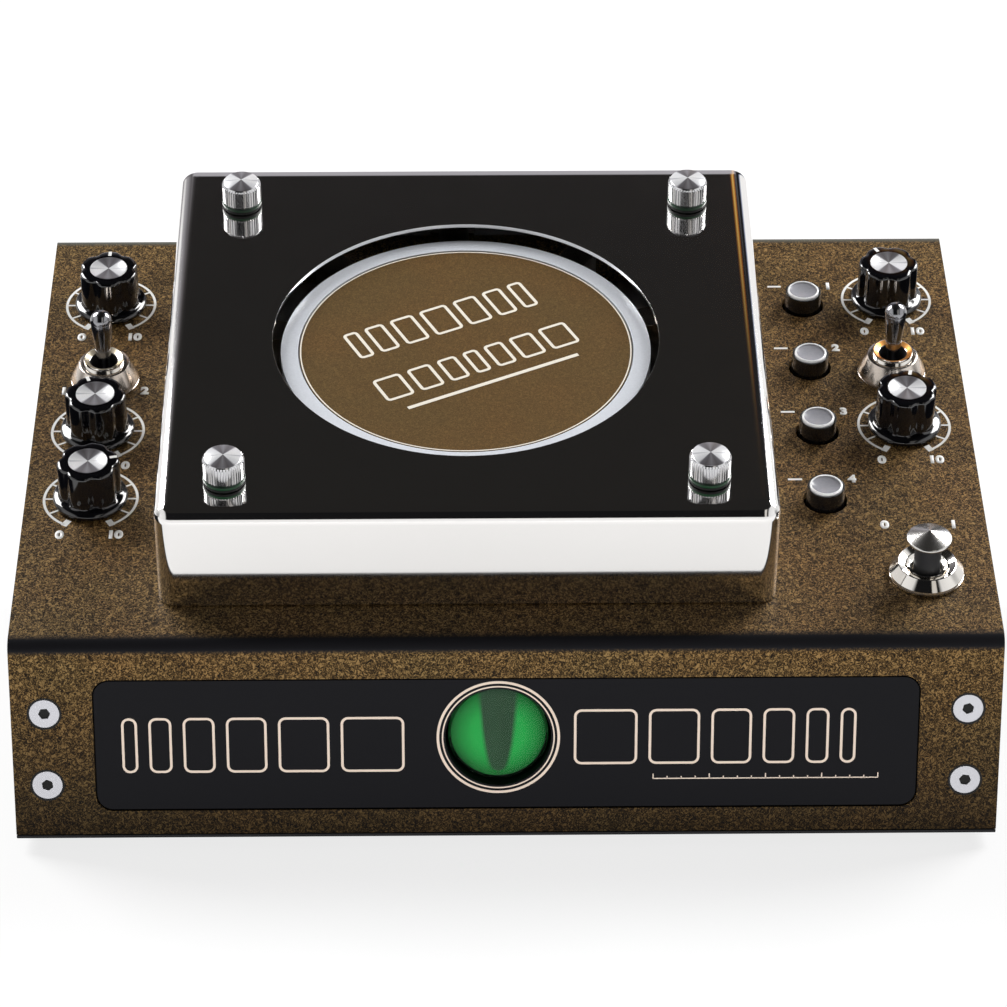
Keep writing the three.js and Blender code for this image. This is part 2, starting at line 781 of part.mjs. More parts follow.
function makeMotor() {
  const bore = motorShaftRadius + bearingPlay;
  const collar = bearingRadius;
  return turned([
    [0, motorLow + motorShaftDepth],
    [bore, motorLow + motorShaftDepth],
    [bore, motorLow - sheet],
    [collar, motorLow - sheet],
    [collar, motorLow],
    [motorRadius, motorLow],
    [motorRadius, deckBottom - seat],
    [0, deckBottom - seat],
  ]);
}

function makeMotorPulley() {
  return turned([
    [0, pulleyLow],
    ...pulleyRim(motorPulleyRadius),
    [motorShaftRadius, pulleyHigh],
    [motorShaftRadius, motorLow + motorShaftDepth - seat],
    [0, motorLow + motorShaftDepth - seat],
  ]);
}

// The loop that a belt makes round both pulleys, at a distance out from their grooves.
function beltLoop(outline, out) {
  const lean = Math.acos((drumPulleyRadius - motorPulleyRadius) / motorDistance);
  const [large, small] = [drumPulleyRadius + out, motorPulleyRadius + out];
  const [centreX, centreY] = [motorX - coverX, motorWay - drumWay];
  outline.absarc(0, 0, large, motorBearing + lean, motorBearing - lean, false);
  outline.absarc(centreX, centreY, small, motorBearing - lean, motorBearing + lean, false);
  outline.closePath();
  return outline;
}

function makeBelt() {
  const shape = beltLoop(new THREE.Shape(), seat + beltThickness);
  shape.holes.push(beltLoop(new THREE.Path(), seat));
  return raised(shape, -beltDepth - beltWidth / 2, -beltDepth + beltWidth / 2, smallSides);
}

function addDrumAndDrive() {
  addPiece(slope, "drum", "silver", makeDrum(), coverX, drumWay);
  const labelTop = drumTop - labelSunk;
  const label = rod(labelRadius, labelTop - labelThickness, labelTop, labelRadius, largeSides);
  addPiece(slope, "drum_label", "hammered", label, coverX, drumWay);
  addPiece(slope, "drum_spindle", "silver", makeSpindle(), coverX, drumWay);
  addPiece(slope, "spindle_bearing", "bronze", makeBearing(), coverX, drumWay);
  addPiece(slope, "drive_belt", "rubber", makeBelt(), coverX, drumWay);
  addPiece(slope, "drum_motor", "zinc", makeMotor(), motorX, motorWay);
  addPiece(slope, "motor_pulley", "silver", makeMotorPulley(), motorX, motorWay);
}

// Heads: a shielded can on a post, with a foot screwed to the deck

function makeHead() {
  const near = drumRadius + headGap;
  const far = near + headDepth;
  const low = deckTop + seat;
  const can = block(near, far, -headWidth / 2, headWidth / 2, headBottom, headTop);
  const postTop = headBottom + headFootThickness;
  const post = block(far - headPostThickness, far, -headWidth / 2, headWidth / 2, low, postTop);
  const footEnd = far - headPostThickness + headFootDepth;
  const footTop = low + headFootThickness;
  const foot = block(far - headPostThickness, footEnd, -headFootWidth / 2, headFootWidth / 2, low, footTop);
  return join(can, post, foot);
}

function addHeads() {
  headNames.forEach((name, index) => {
    const head = addPiece(slope, name, "zinc", makeHead(), coverX, drumWay);
    head.rotation.z = firstHeadAngle + index * headPitch;
  });
}

// Rotary knobs: a fluted body on a skirt, hollow below, made in one with its shaft

// A ridge of the fluted body stands at the pointer.

function makeKnob() {
  const fluted = new THREE.Shape();
  const steps = knobFlutes * knobFluteSteps;
  for (let step = 0; step < steps; step += 1) {
    const angle = (2 * Math.PI * step) / steps;
    const dip = (1 - Math.cos(knobFlutes * angle)) / 2;
    const radius = knobRadius - knobFluteDepth * dip;
    const [x, y] = [-radius * Math.sin(angle), radius * Math.cos(angle)];
    if (step === 0) fluted.moveTo(x, y);
    else fluted.lineTo(x, y);
  }
  fluted.closePath();
  const skirtMiddle = (knobSkirtBottom + knobSkirtTop) / 2;
  const body = raised(fluted, skirtMiddle, knobTop);
  const skirt = rod(knobSkirtRadius, knobSkirtBottom, knobSkirtTop, knobSkirtRadius - holeGap);
  const hollow = rod(knobHollowRadius, knobSkirtBottom - overrun, knobHollowTop);
  const shaft = rod(knobShaftRadius, knobShaftBottom, knobHollowTop + overrun);
  return join(cut(join(body, skirt), hollow), shaft);
}

// A row of potentiometers on one board: each has a body, a threaded bush and a nut on the panel.
function makePotBoard(ways, slotWay, slotX) {
  const bore = knobShaftRadius + potPlay;
  const pots = ways.map((way) =>
    turned([
      [0, potLow],
      [potRadius, potLow],
      [potRadius, -sheet - seat],
      [potBushRadius, -sheet - seat],
      [potBushRadius, seat],
      [potNutRadius, seat],
      [potNutRadius, seat + potNutThickness],
      [potBushRadius, seat + potNutThickness],
      [potBushRadius, potBushTop],
      [bore, potBushTop],
      [bore, knobShaftBottom - seat],
      [0, knobShaftBottom - seat],
    ]).translate(0, way, 0),
  );
  const half = potBoardWidth / 2;
  const ends = [Math.min(...ways) - potBoardMargin, Math.max(...ways) + potBoardMargin];
  const board = block(-half, half, ...ends, potLow - boardThickness, potLow + boardThickness / 2);
  const slotHalfX = toggleBodyWidth / 2 + potBoardSlotMargin;
  const slotHalfWay = toggleBodyLength / 2 + potBoardSlotMargin;
  const slotLow = potLow - boardThickness - overrun;
  const slot = block(-slotHalfX, slotHalfX, -slotHalfWay, slotHalfWay, slotLow, potLow + overrun);
  return cut(join(board, ...pots), slot.translate(slotX, slotWay, 0));
}

function addKnobs() {
  for (const side of columnSides) {
    const board = makePotBoard(knobWays[side], toggleWays[side], toggleShifts[side]);
    addPiece(slope, `${side}_pot_board`, "board", board, columnXs[side]);
    knobWays[side].forEach((way, index) => {
      const name = `knob_${side}_${index + 1}`;
      const knob = addPiece(slope, name, "blackGloss", makeKnob(), columnXs[side], way);
      knob.rotation.z = THREE.MathUtils.degToRad(-knobPointers[side][index]);
    });
  }
}

// Switches with a threaded bush: two toggles and the bypass switch

function makeSwitchBody(width, length, depth, top, boreFloor) {
  const box = block(-width / 2, width / 2, -length / 2, length / 2, -sheet - seat - depth, -sheet - seat);
  const bush = rod(bushRadius, -sheet - sheet, top);
  const bore = turned([
    [0, boreFloor],
    [bushBoreRadius, boreFloor],
    [bushBoreRadius, top - bushRim],
    [bushBoreRadius + bushRim, top],
    [bushBoreRadius + bushRim, top + overrun],
    [0, top + overrun],
  ]);
  return cut(join(box, bush), bore);
}

function makeDressNut(radius, topRadius, height, dish) {
  const bore = bushRadius + holeGap;
  return turnedRing([
    [bore, seat],
    [radius, seat],
    [radius, seat + dressNutBand],
    [topRadius, height],
    [bore, height - dish],
  ]);
}

// The lever's ball sits on its own origin, so the lever tilts about it.
function makeLever() {
  const shoulder = leverTop - leverPivot - leverTipLength;
  const tip = leverTop - leverPivot - leverTipRadius;
  const stem = turned([
    [0, 0],
    [leverNeckRadius, 0],
    [leverNeckRadius, bushTop - leverPivot],
    [leverTipRadius, shoulder],
    [0, shoulder],
  ]);
  const ball = new THREE.SphereGeometry(leverBallRadius, smallSides, smallSides / 2).rotateX(Math.PI / 2);
  const dome = new THREE.SphereGeometry(leverTipRadius, smallSides, smallSides / 2).rotateX(Math.PI / 2);
  return join(stem, ball, dome.translate(0, 0, tip));
}

function addToggles() {
  const floor = leverPivot - leverBoreDepth;
  for (const side of columnSides) {
    const [x, way] = [toggleXs[side], toggleWays[side]];
    const body = makeSwitchBody(toggleBodyWidth, toggleBodyLength, toggleBodyDepth, bushTop, floor);
    const nut = makeDressNut(dressNutRadius, dressNutTopRadius, dressNutHeight, 0);
    addPiece(slope, `toggle_switch_${side}`, "chrome", body, x, way);
    addPiece(slope, `toggle_nut_${side}`, "chrome", nut, x, way);
    addPiece(slope, `toggle_lever_${side}`, "chrome", makeLever(), x, way, leverPivot);
  }
}

function makeBypassPlunger() {
  return turned([
    [0, bypassStemBottom],
    [bypassStemRadius, bypassStemBottom],
    [bypassStemRadius, bypassCapBottom],
    [bypassCapRadius, bypassCapBottom],
    [bypassCapRadius, bypassCapBottom + bypassCapRim],
    [0, bypassCapTop],
  ]);
}

function addBypass() {
  const floor = bypassStemBottom - bypassTravel - seat;
  const body = makeSwitchBody(bypassBodySide, bypassBodySide, bypassBodyDepth, bypassBushTop, floor);
  const nut = makeDressNut(bypassNutRadius, bypassNutTopRadius, bypassNutHeight, bypassNutDish);
  addPiece(slope, "bypass_switch", "chrome", body, bypassX, bypassWay);
  addPiece(slope, "bypass_nut", "chrome", nut, bypassX, bypassWay);
  addPiece(slope, "bypass_plunger", "chrome", makeBypassPlunger(), bypassX, bypassWay);
}

// Playback push buttons in tapered housings on one board

function makeButtonBoard() {
  const boreRadius = buttonRadius + buttonGap;
  const housings = buttonWays.map((way) =>
    turned([
      [0, -buttonBoardDepth],
      [buttonHousingRadius, -buttonBoardDepth],
      [buttonHousingRadius, 0],
      [buttonHousingTopRadius, buttonHousingTop],
      [boreRadius, buttonHousingTop],
      [boreRadius, buttonBottom - buttonTravel - seat],
      [0, buttonBottom - buttonTravel - seat],
    ]).translate(0, way, 0),
  );
  const half = buttonBoardWidth / 2;
  const ends = [Math.min(...buttonWays) - buttonBoardMargin, Math.max(...buttonWays) + buttonBoardMargin];
  const low = -buttonBoardDepth - boardThickness / 2;
  return join(block(-half, half, ...ends, low, low + boardThickness), ...housings);
}

function addPlaybackButtons() {
  addPiece(slope, "playback_switch_board", "blackMatte", makeButtonBoard(), buttonX);
  buttonWays.forEach((way, index) => {
    const cap = rod(buttonRadius, buttonBottom, buttonTop);
    addPiece(slope, `playback_button_${index + 1}`, "greyPlastic", cap, buttonX, way);
  });
}

// Main board and rear sockets

function makeMainBoard() {
  const [halfX, halfY] = [mainBoardWidth / 2, mainBoardLength / 2];
  const low = baseTopZ + seat;
  const boardLow = low + mainBoardStandoff;
  const board = block(-halfX, halfX, -halfY, halfY, boardLow, boardLow + boardThickness);
  const [pinX, pinY] = [halfX - standoffInset, halfY - standoffInset];
  const standoffs = [-1, 1].flatMap((sideX) =>
    [-1, 1].map((sideY) => {
      const pillar = rod(standoffRadius, low, boardLow + boardThickness / 2);
      return pillar.translate(sideX * pinX, sideY * pinY, 0);
    }),
  );
  return join(board, ...standoffs);
}

// A panel socket through the rear wall: a body inside, a threaded bush and a nut outside.
function makeRearSocket(bushOuter, nutRadius, bodyWidth, bodyLength, bore) {
  const inner = -sheet - seat;
  const half = bodyWidth / 2;
  const body = block(-half, half, -half, half, inner - bodyLength, inner);
  const bush = rod(bushOuter, inner - sheet, jackProud);
  const nut = rod(nutRadius, seat, seat + jackNutThickness, nutRadius, 6);
  return facingRear(cut(join(body, bush, nut), bore));
}

function makeJack() {
  const bore = rod(jackBoreRadius, jackProud - jackBoreDepth, jackProud + overrun);
  return makeRearSocket(jackRadius, jackNutRadius, jackBodyWidth, jackBodyLength, bore);
}

function makeInlet() {
  const hole = rod(inletBoreRadius, jackProud - inletBoreDepth, jackProud + overrun);
  const pin = rod(inletPinRadius, jackProud - inletBoreDepth - overrun, jackProud - inletPinSunk);
  return makeRearSocket(inletRadius, inletNutRadius, inletBodyWidth, inletBodyLength, cut(hole, pin));
}

function addElectronics() {
  const boardY = rearY - mainBoardRearGap - mainBoardLength / 2;
  addPiece(root, "main_board", "board", makeMainBoard(), 0, boardY);
  for (const [name, x] of Object.entries(jackXs)) {
    addPiece(root, `${name}_jack`, "blackMatte", makeJack(), x, rearY, baseZ + socketHeight);
  }
  addPiece(root, "power_inlet", "blackMatte", makeInlet(), inletX, rearY, baseZ + socketHeight);
}

addConsole();
addFront();
addDeckAndCover();
addDrumAndDrive();
addHeads();
addKnobs();
addToggles();
addBypass();
addPlaybackButtons();
addElectronics();

export default root;
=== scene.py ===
# Drum echo unit: a sloping hammered console with a polished cover over a spinning magnetic drum.
# Lengths in the dictionaries are millimetres, angles are degrees, colours are sRGB hex.
import json
import math

import bpy
from mathutils import Matrix, Vector


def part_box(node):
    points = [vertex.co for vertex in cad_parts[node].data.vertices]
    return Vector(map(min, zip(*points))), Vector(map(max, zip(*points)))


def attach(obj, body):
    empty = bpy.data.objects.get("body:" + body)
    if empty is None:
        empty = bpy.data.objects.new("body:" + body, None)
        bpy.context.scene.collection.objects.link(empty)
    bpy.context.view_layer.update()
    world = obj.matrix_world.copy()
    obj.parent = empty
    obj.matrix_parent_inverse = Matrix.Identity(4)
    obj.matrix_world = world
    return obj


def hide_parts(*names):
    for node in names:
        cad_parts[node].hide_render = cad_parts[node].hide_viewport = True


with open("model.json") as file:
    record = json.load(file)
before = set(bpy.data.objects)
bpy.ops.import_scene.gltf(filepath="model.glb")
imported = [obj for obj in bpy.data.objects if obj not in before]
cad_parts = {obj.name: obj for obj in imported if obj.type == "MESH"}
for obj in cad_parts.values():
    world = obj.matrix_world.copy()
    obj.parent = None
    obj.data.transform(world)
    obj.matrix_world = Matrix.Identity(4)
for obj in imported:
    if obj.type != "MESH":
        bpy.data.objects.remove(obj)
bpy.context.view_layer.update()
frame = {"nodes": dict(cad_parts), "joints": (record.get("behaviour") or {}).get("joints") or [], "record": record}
nodes = frame["nodes"]
joints = {joint["name"]: joint for joint in frame["joints"]}
mm = 0.001

# Axes of the sloping panel: x, way up the slope, height off it
panelNormal = Vector(joints["cover_lift"]["axis"]).normalized()
panelUp = Vector((0, panelNormal.z, -panelNormal.y))
panelLevel = max(vertex.co.dot(panelNormal) for vertex in nodes["chassis_shell"].data.vertices)
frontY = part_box("chassis_shell")[0].y
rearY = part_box("chassis_shell")[1].y
panelOrigin = Vector((0, frontY, (panelLevel - panelNormal.y * frontY) / panelNormal.z))
panelTurn = Matrix((Vector((1, 0, 0)), panelUp, panelNormal)).transposed().to_4x4()
frontTurn = Matrix.Rotation(math.radians(90), 4, "X")  # made lying down, then faces the front
rearTurn = Matrix.Rotation(math.radians(-90), 4, "X") @ Matrix.Rotation(math.pi, 4, "Z")


def panelBox(name):  # lowest and highest corner of a CAD node along the panel's axes, in metres
    spots = []
    for vertex in nodes[name].data.vertices:
        away = vertex.co - panelOrigin
        spots.append((away.x, away.dot(panelUp), away.dot(panelNormal)))
    return Vector(map(min, zip(*spots))), Vector(map(max, zip(*spots)))


def middle(box):
    return (box[0] + box[1]) / 2


def onPanel(x, way, height=0.0, turn=0.0):  # where a piece made at the origin goes on the panel
    place = Matrix.Translation((x, way, height)) @ Matrix.Rotation(math.radians(turn), 4, "Z")
    return Matrix.Translation(panelOrigin) @ panelTurn @ place


def overNode(name, height=0.0, turn=0.0):  # on the panel, over the middle of a CAD node
    spot = middle(panelBox(name))
    return onPanel(spot.x, spot.y, height, turn)


# Work on the bench: small helpers round the modelling operators
def deselect():
    bpy.ops.object.select_all(action="DESELECT")


def choose(*pieces):
    deselect()
    for piece in pieces:
        piece.select_set(True)
    bpy.context.view_layer.objects.active = pieces[0]


def named(name):
    piece = bpy.context.object
    piece.name = name
    piece.data.name = name
    return piece


def edit(mode="VERT", everything=True):
    bpy.ops.object.mode_set(mode="EDIT")
    bpy.ops.mesh.select_mode(type=mode)
    bpy.ops.mesh.select_all(action="SELECT" if everything else "DESELECT")


def leave():
    bpy.ops.object.mode_set(mode="OBJECT")


def pick(piece, kind, wanted):  # selects faces, edges or vertices in code, and opens edit mode on them
    choose(piece)
    edit({"polygons": "FACE", "edges": "EDGE", "vertices": "VERT"}[kind], everything=False)
    leave()
    for item in getattr(piece.data, kind):
        item.select = wanted(item)
    bpy.ops.object.mode_set(mode="EDIT")


def extrudeBy(x, y, z):
    bpy.ops.mesh.extrude_region_move(TRANSFORM_OT_translate={"value": (x, y, z)})


def tidyFaces():  # in edit mode
    bpy.ops.mesh.select_all(action="SELECT")
    bpy.ops.mesh.remove_doubles(threshold=1e-6)
    bpy.ops.mesh.normals_make_consistent(inside=False)


def turn(name, outline, steps=64, softened=0.0):  # a turned piece, from radius and height in mm
    deselect()
    bpy.ops.mesh.primitive_plane_add(size=mm)
    piece = named(name)
    edit()
    bpy.ops.mesh.merge(type="CENTER")
    bpy.ops.transform.translate(value=(outline[0][0] * mm, 0, outline[0][1] * mm))
    for (radius, height), (nextRadius, nextHeight) in zip(outline, outline[1:]):
        extrudeBy((nextRadius - radius) * mm, 0, (nextHeight - height) * mm)
    bpy.ops.mesh.select_all(action="SELECT")
    if softened:
        bpy.ops.mesh.bevel(offset=softened * mm, segments=2, affect="VERTICES")
        bpy.ops.mesh.select_all(action="SELECT")
    bpy.ops.mesh.spin(steps=steps, angle=math.tau, center=(0, 0, 0), axis=(0, 0, 1))
    tidyFaces()
    leave()
    return piece


def plate(name, width, length, corner, low, high, segments=8):  # a rounded rectangle raised between two heights
    deselect()
    bpy.ops.mesh.primitive_plane_add(size=1)
    piece = named(name)
    edit()
    bpy.ops.transform.resize(value=(width * mm, length * mm, 1))
    if corner:
        bpy.ops.mesh.bevel(offset=corner * mm, segments=segments, affect="VERTICES")
        bpy.ops.mesh.select_all(action="SELECT")
    bpy.ops.transform.translate(value=(0, 0, low * mm))
    if high > low:
        extrudeBy(0, 0, (high - low) * mm)
        tidyFaces()
    leave()
    return piece


def applied(piece, kind, **settings):  # adds a modifier and applies it
    choose(piece)
    modifier = piece.modifiers.new(kind.title(), kind)
    for name, value in settings.items():
        setattr(modifier, name, value)
    bpy.ops.object.modifier_apply(modifier=modifier.name)
    return piece


def soften(piece, width, segments=2, angle=35):
    limit = {"limit_method": "ANGLE", "angle_limit": math.radians(angle), "use_clamp_overlap": True}
    return applied(piece, "BEVEL", width=width * mm, segments=segments, harden_normals=False, **limit)


def smooth(piece, angle=35, weighted=True):
    choose(piece)
    bpy.ops.object.shade_smooth_by_angle(angle=math.radians(angle))
    if weighted:
        applied(piece, "WEIGHTED_NORMAL", keep_sharp=True)
    return piece


def lathe(name, outline, steps, angle):  # a turned piece that keeps its own sharp edges
    return smooth(turn(name, outline, steps), angle, weighted=False)


def carve(piece, tool, operation="DIFFERENCE"):
    applied(piece, "BOOLEAN", operation=operation, solver="EXACT", object=tool)
    bpy.data.objects.remove(tool)
    return piece


def settle(piece, place=None):  # puts a piece in its place and moves that place into its mesh
    if place is not None:
        piece.matrix_world = place
    choose(piece)
    bpy.ops.object.transform_apply(location=True, rotation=True, scale=True)
    return piece


def copyOf(piece, name):
    choose(piece)
    bpy.ops.object.duplicate(linked=False)
    return named(name)


def clearBench(*pieces):  # removes the models once they are copied
    for piece in pieces:
        bpy.data.objects.remove(piece)


def merge(name, *pieces):
    choose(*pieces)
    bpy.ops.object.join()
    return named(name)


def dress(piece, material, body, slot, replaces=()):  # finish and body; the slot is not used
    piece.data.materials.clear()
    piece.data.materials.append(material)
    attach(piece, body)
    if replaces:
        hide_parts(*replaces)
    return piece


def fitCopy(model, name, place, *finish):  # a dressed copy of a model in its place
    return dress(settle(copyOf(model, name), place), *finish)


def smoothCopy(node, name, bevel=0.25, angle=30):  # a CAD node's shape with its facets and edges smoothed
    piece = nodes[node].copy()
    piece.data = nodes[node].data.copy()
    bpy.context.scene.collection.objects.link(piece)
    for key in list(piece.keys()):
        del piece[key]
    piece.parent = None
    piece.name = name
    piece.data.name = name
    choose(piece)
    edit()
    bpy.ops.mesh.remove_doubles(threshold=1e-6)
    bpy.ops.mesh.dissolve_limited(angle_limit=math.radians(1))
    leave()
    return smooth(soften(piece, bevel, angle=angle), angle)


# Materials
def toLinear(colour):
    parts = [int(colour[index : index + 2], 16) / 255 for index in (1, 3, 5)]
    return tuple(p / 12.92 if p <= 0.04045 else ((p + 0.055) / 1.055) ** 2.4 for p in parts) + (1.0,)


def outputOf(source):  # a node stands for the first of its outputs that is in use
    if isinstance(source, bpy.types.Node):
        return next(socket for socket in source.outputs if socket.enabled)
    return source


def addNode(material, kind, inputs=(), stops=(), **settings):  # a node with its settings, values and links
    node = material.node_tree.nodes.new("ShaderNode" + kind)
    for name, value in settings.items():
        setattr(node, name, value)
    for socket, source in dict(inputs).items():
        value = outputOf(source)
        if isinstance(value, bpy.types.NodeSocket):
            material.node_tree.links.new(value, node.inputs[socket])
        else:
            node.inputs[socket].default_value = value
    for index, (position, colour) in enumerate(stops):
        if index > 1:
            node.color_ramp.elements.new(position)
        node.color_ramp.elements[index].position = position
        node.color_ramp.elements[index].color = toLinear(colour)
    return node


def newMaterial(name, **values):  # a Principled material, its constant values on the shader's own sockets
    material = bpy.data.materials.new(name)
    material.use_nodes = True
    shader = material.node_tree.nodes["Principled BSDF"]
    for socket, value in values.items():
        shader.inputs[socket.replace("_", " ")].default_value = value
    return material, shader


def feed(material, shader, **sockets):
    for socket, source in sockets.items():
        material.node_tree.links.new(outputOf(source), shader.inputs[socket.replace("_", " ")])
    return material


def objectPlace(material):
    return addNode(material, "TexCoord").outputs["Object"]


hammerSizes = {
    "threadSpacing": 0.7,  # between two dark threads of the pattern
    "cells": 1.45,  # thread spacings to one cell of the noise
    "patchSize": 26,  # of the slow changes in tint
    "relief": 0.3,
    "bendRadius": 4.2,  # of the shell's front bend, where the enamel runs thin and smooth and its colour is a painted dark reflection
    "bendReach": (3.5, 4.5),  # behind the front, the bend's painted reflection colour fades between these
    "rearBrim": 0.15,  # height of the smooth line along the rear bend, which carries a painted reflection
    "thread": "#150f08",
    "field": "#634d2c",
    "crest": "#a88a5a",
    "warm": "#85602e",
    "cool": "#5c563a",
    # painted reflections: the colours of the front and rear bends, as if mirroring the room
    "frontBendReflection": "#1a1a1d",
    "rearBendReflection": "#575851",
    "foot": "#7c7c7c",  # painted shade: the enamel is darker towards the foot of the fronts
}


def hammeredEnamel(name, sizes, gloss=0.42, bends=False):
    # Hammered stoving enamel, sprayed on steel: gold-brown crests between fine dark threads.
    # With bends it is the shell's own: smooth over the bends, whose colour is a painted reflection, and with
    # painted shade darkening it towards the foot.
    material, shader = newMaterial(name, Metallic=0.35, Roughness=gloss, Specular_IOR_Level=0.2)
    place = objectPlace(material)
    fineness = 1 / (sizes["cells"] * sizes["threadSpacing"] * mm)
    threads = addNode(material, "TexNoise",
                      {"Vector": place, "Scale": fineness, "Detail": 2.0, "Roughness": 0.5, "Distortion": 1.1})
    centred = addNode(material, "Math", {0: threads, 1: 0.5}, operation="SUBTRACT")
    ridge = addNode(material, "Math", {0: centred}, operation="ABSOLUTE")
    colour = addNode(material, "ValToRGB", {"Fac": ridge},
                     stops=[(0.0, sizes["thread"]), (0.018, sizes["thread"]), (0.06, sizes["field"]),
                            (0.17, sizes["crest"])])
    patches = addNode(material, "TexNoise",
                      {"Vector": place, "Scale": 1 / (sizes["patchSize"] * mm), "Detail": 3.0})
    tint = addNode(material, "ValToRGB", {"Fac": patches},
                   stops=[(0.35, sizes["cool"]), (0.65, sizes["warm"])])
    mixed = addNode(material, "Mix", {0: 0.3, 6: colour, 7: tint},
                    data_type="RGBA", blend_type="OVERLAY")
    bump = addNode(material, "Bump",
                   {"Height": ridge, "Strength": 0.6, "Distance": sizes["relief"] * mm})
    if not bends:
        return feed(material, shader, Base_Color=mixed, Normal=bump)
    height = addNode(material, "SeparateXYZ", {0: place}).outputs["Z"]
    slopeTurn = math.acos(panelNormal.z)
    reach = sizes["bendRadius"] * mm * math.tan((math.pi / 2 - slopeTurn) / 2)
    low, high = panelOrigin.z - reach, panelOrigin.z + reach * math.sin(slopeTurn)
    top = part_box("chassis_shell")[1].z
    brim = top - sizes["rearBrim"] * mm
    share = addNode(material, "MapRange", {"Value": height, "From Max": top})
    bendSmoothAndReflecting = addNode(material, "ValToRGB", {"Fac": share}, stops=[
        ((low - 0.6 * mm) / top, "#000000"), ((low + 0.5 * mm) / top, "#ffffff"),
        ((high - 0.3 * mm) / top, "#ffffff"), ((high + 0.4 * mm) / top, "#000000"),
        ((brim - 0.1 * mm) / top, "#000000"), (brim / top, "#ffffff")])
    way = addNode(material, "SeparateXYZ", {0: place}).outputs["Y"]
    near, far = sizes["bendReach"]
    ahead = addNode(material, "MapRange",
                    {"Value": way, "From Min": frontY + far * mm, "From Max": frontY + near * mm})
    onTop = addNode(material, "Math", {0: height, 1: brim - 1 * mm}, operation="GREATER_THAN")
    bent = addNode(material, "Math", {0: ahead, 1: onTop}, operation="MAXIMUM")
    bendSmoothAndReflecting = addNode(material, "Math", {0: bendSmoothAndReflecting, 1: bent}, operation="MULTIPLY")
    # painted reflection: the bends take these colours in place of the enamel's
    paintedBendReflection = addNode(material, "ValToRGB", {"Fac": share},
                         stops=[(0.6, sizes["frontBendReflection"]), (0.8, sizes["rearBendReflection"])])
    # painted shade: darker towards the foot
    paintedFootShade = addNode(material, "ValToRGB", {"Fac": share},
                   stops=[(0.03, sizes["foot"]), ((low - 1 * mm) / top, "#ffffff")])
    withPaintedFootShade = addNode(material, "Mix", {0: 1.0, 6: mixed, 7: paintedFootShade},
                    data_type="RGBA", blend_type="MULTIPLY")
    both = addNode(material, "Mix", {0: bendSmoothAndReflecting, 6: withPaintedFootShade, 7: paintedBendReflection},
                   data_type="RGBA")
    rough = addNode(material, "MapRange", {"Value": bendSmoothAndReflecting, "To Min": 0.6, "To Max": 0.0})
    material.node_tree.links.new(outputOf(rough), bump.inputs["Strength"])
    return feed(material, shader, Base_Color=both, Normal=bump)


def wornMetal(name, colour, roughness, grain=0.4, spread=0.06, metallic=1.0, shade=0.88):
    # A metal with a fine, slightly uneven polish: the grain varies both its tone and its gloss
    material, shader = newMaterial(name, Metallic=metallic)
    noise = addNode(material, "TexNoise",
                    {"Vector": objectPlace(material), "Scale": 1 / (grain * mm), "Detail": 4.0})
    linear = toLinear(colour)
    darker = tuple(part * shade for part in linear[:3]) + (1.0,)
    tone = addNode(material, "Mix", {0: noise, 6: darker, 7: linear}, data_type="RGBA")
    gloss = addNode(material, "MapRange",
                    {"Value": noise, "To Min": max(0.02, roughness - spread), "To Max": roughness + spread})
    return feed(material, shader, Base_Color=tone, Roughness=gloss)


def mouldedPlastic(name, colour, roughness, grain=0.5, relief=0.01, gloss=0.5, index=1.5):
    # Moulded plastic: a faint grain from the tool in tone, gloss and height
    material, shader = newMaterial(name, Specular_IOR_Level=gloss, IOR=index)
    place = objectPlace(material)
    noise = addNode(material, "TexNoise", {"Vector": place, "Scale": 1 / (grain * mm), "Detail": 3.0})
    linear = toLinear(colour)
    paler = tuple(part * 1.25 for part in linear[:3]) + (1.0,)
    tone = addNode(material, "Mix", {0: noise, 6: linear, 7: paler}, data_type="RGBA")
    polish = addNode(material, "MapRange",
                     {"Value": noise, "To Min": roughness * 0.85, "To Max": roughness * 1.15})
    bump = addNode(material, "Bump",
                   {"Height": noise, "Strength": 0.25, "Distance": relief * mm})
    return feed(material, shader, Base_Color=tone, Roughness=polish, Normal=bump)


def printedInk(name, colour, roughness=0.45):
    # Screen-printed ink: even, with a faint mesh of thick and thin
    material, shader = newMaterial(name, Roughness=roughness)
    noise = addNode(material, "TexNoise",
                    {"Vector": objectPlace(material), "Scale": 1 / (0.3 * mm), "Detail": 2.0})
    linear = toLinear(colour)
    thin = tuple(part * 0.86 for part in linear[:3]) + (1.0,)
    tone = addNode(material, "Mix", {0: noise, 6: thin, 7: linear}, data_type="RGBA")
    return feed(material, shader, Base_Color=tone)


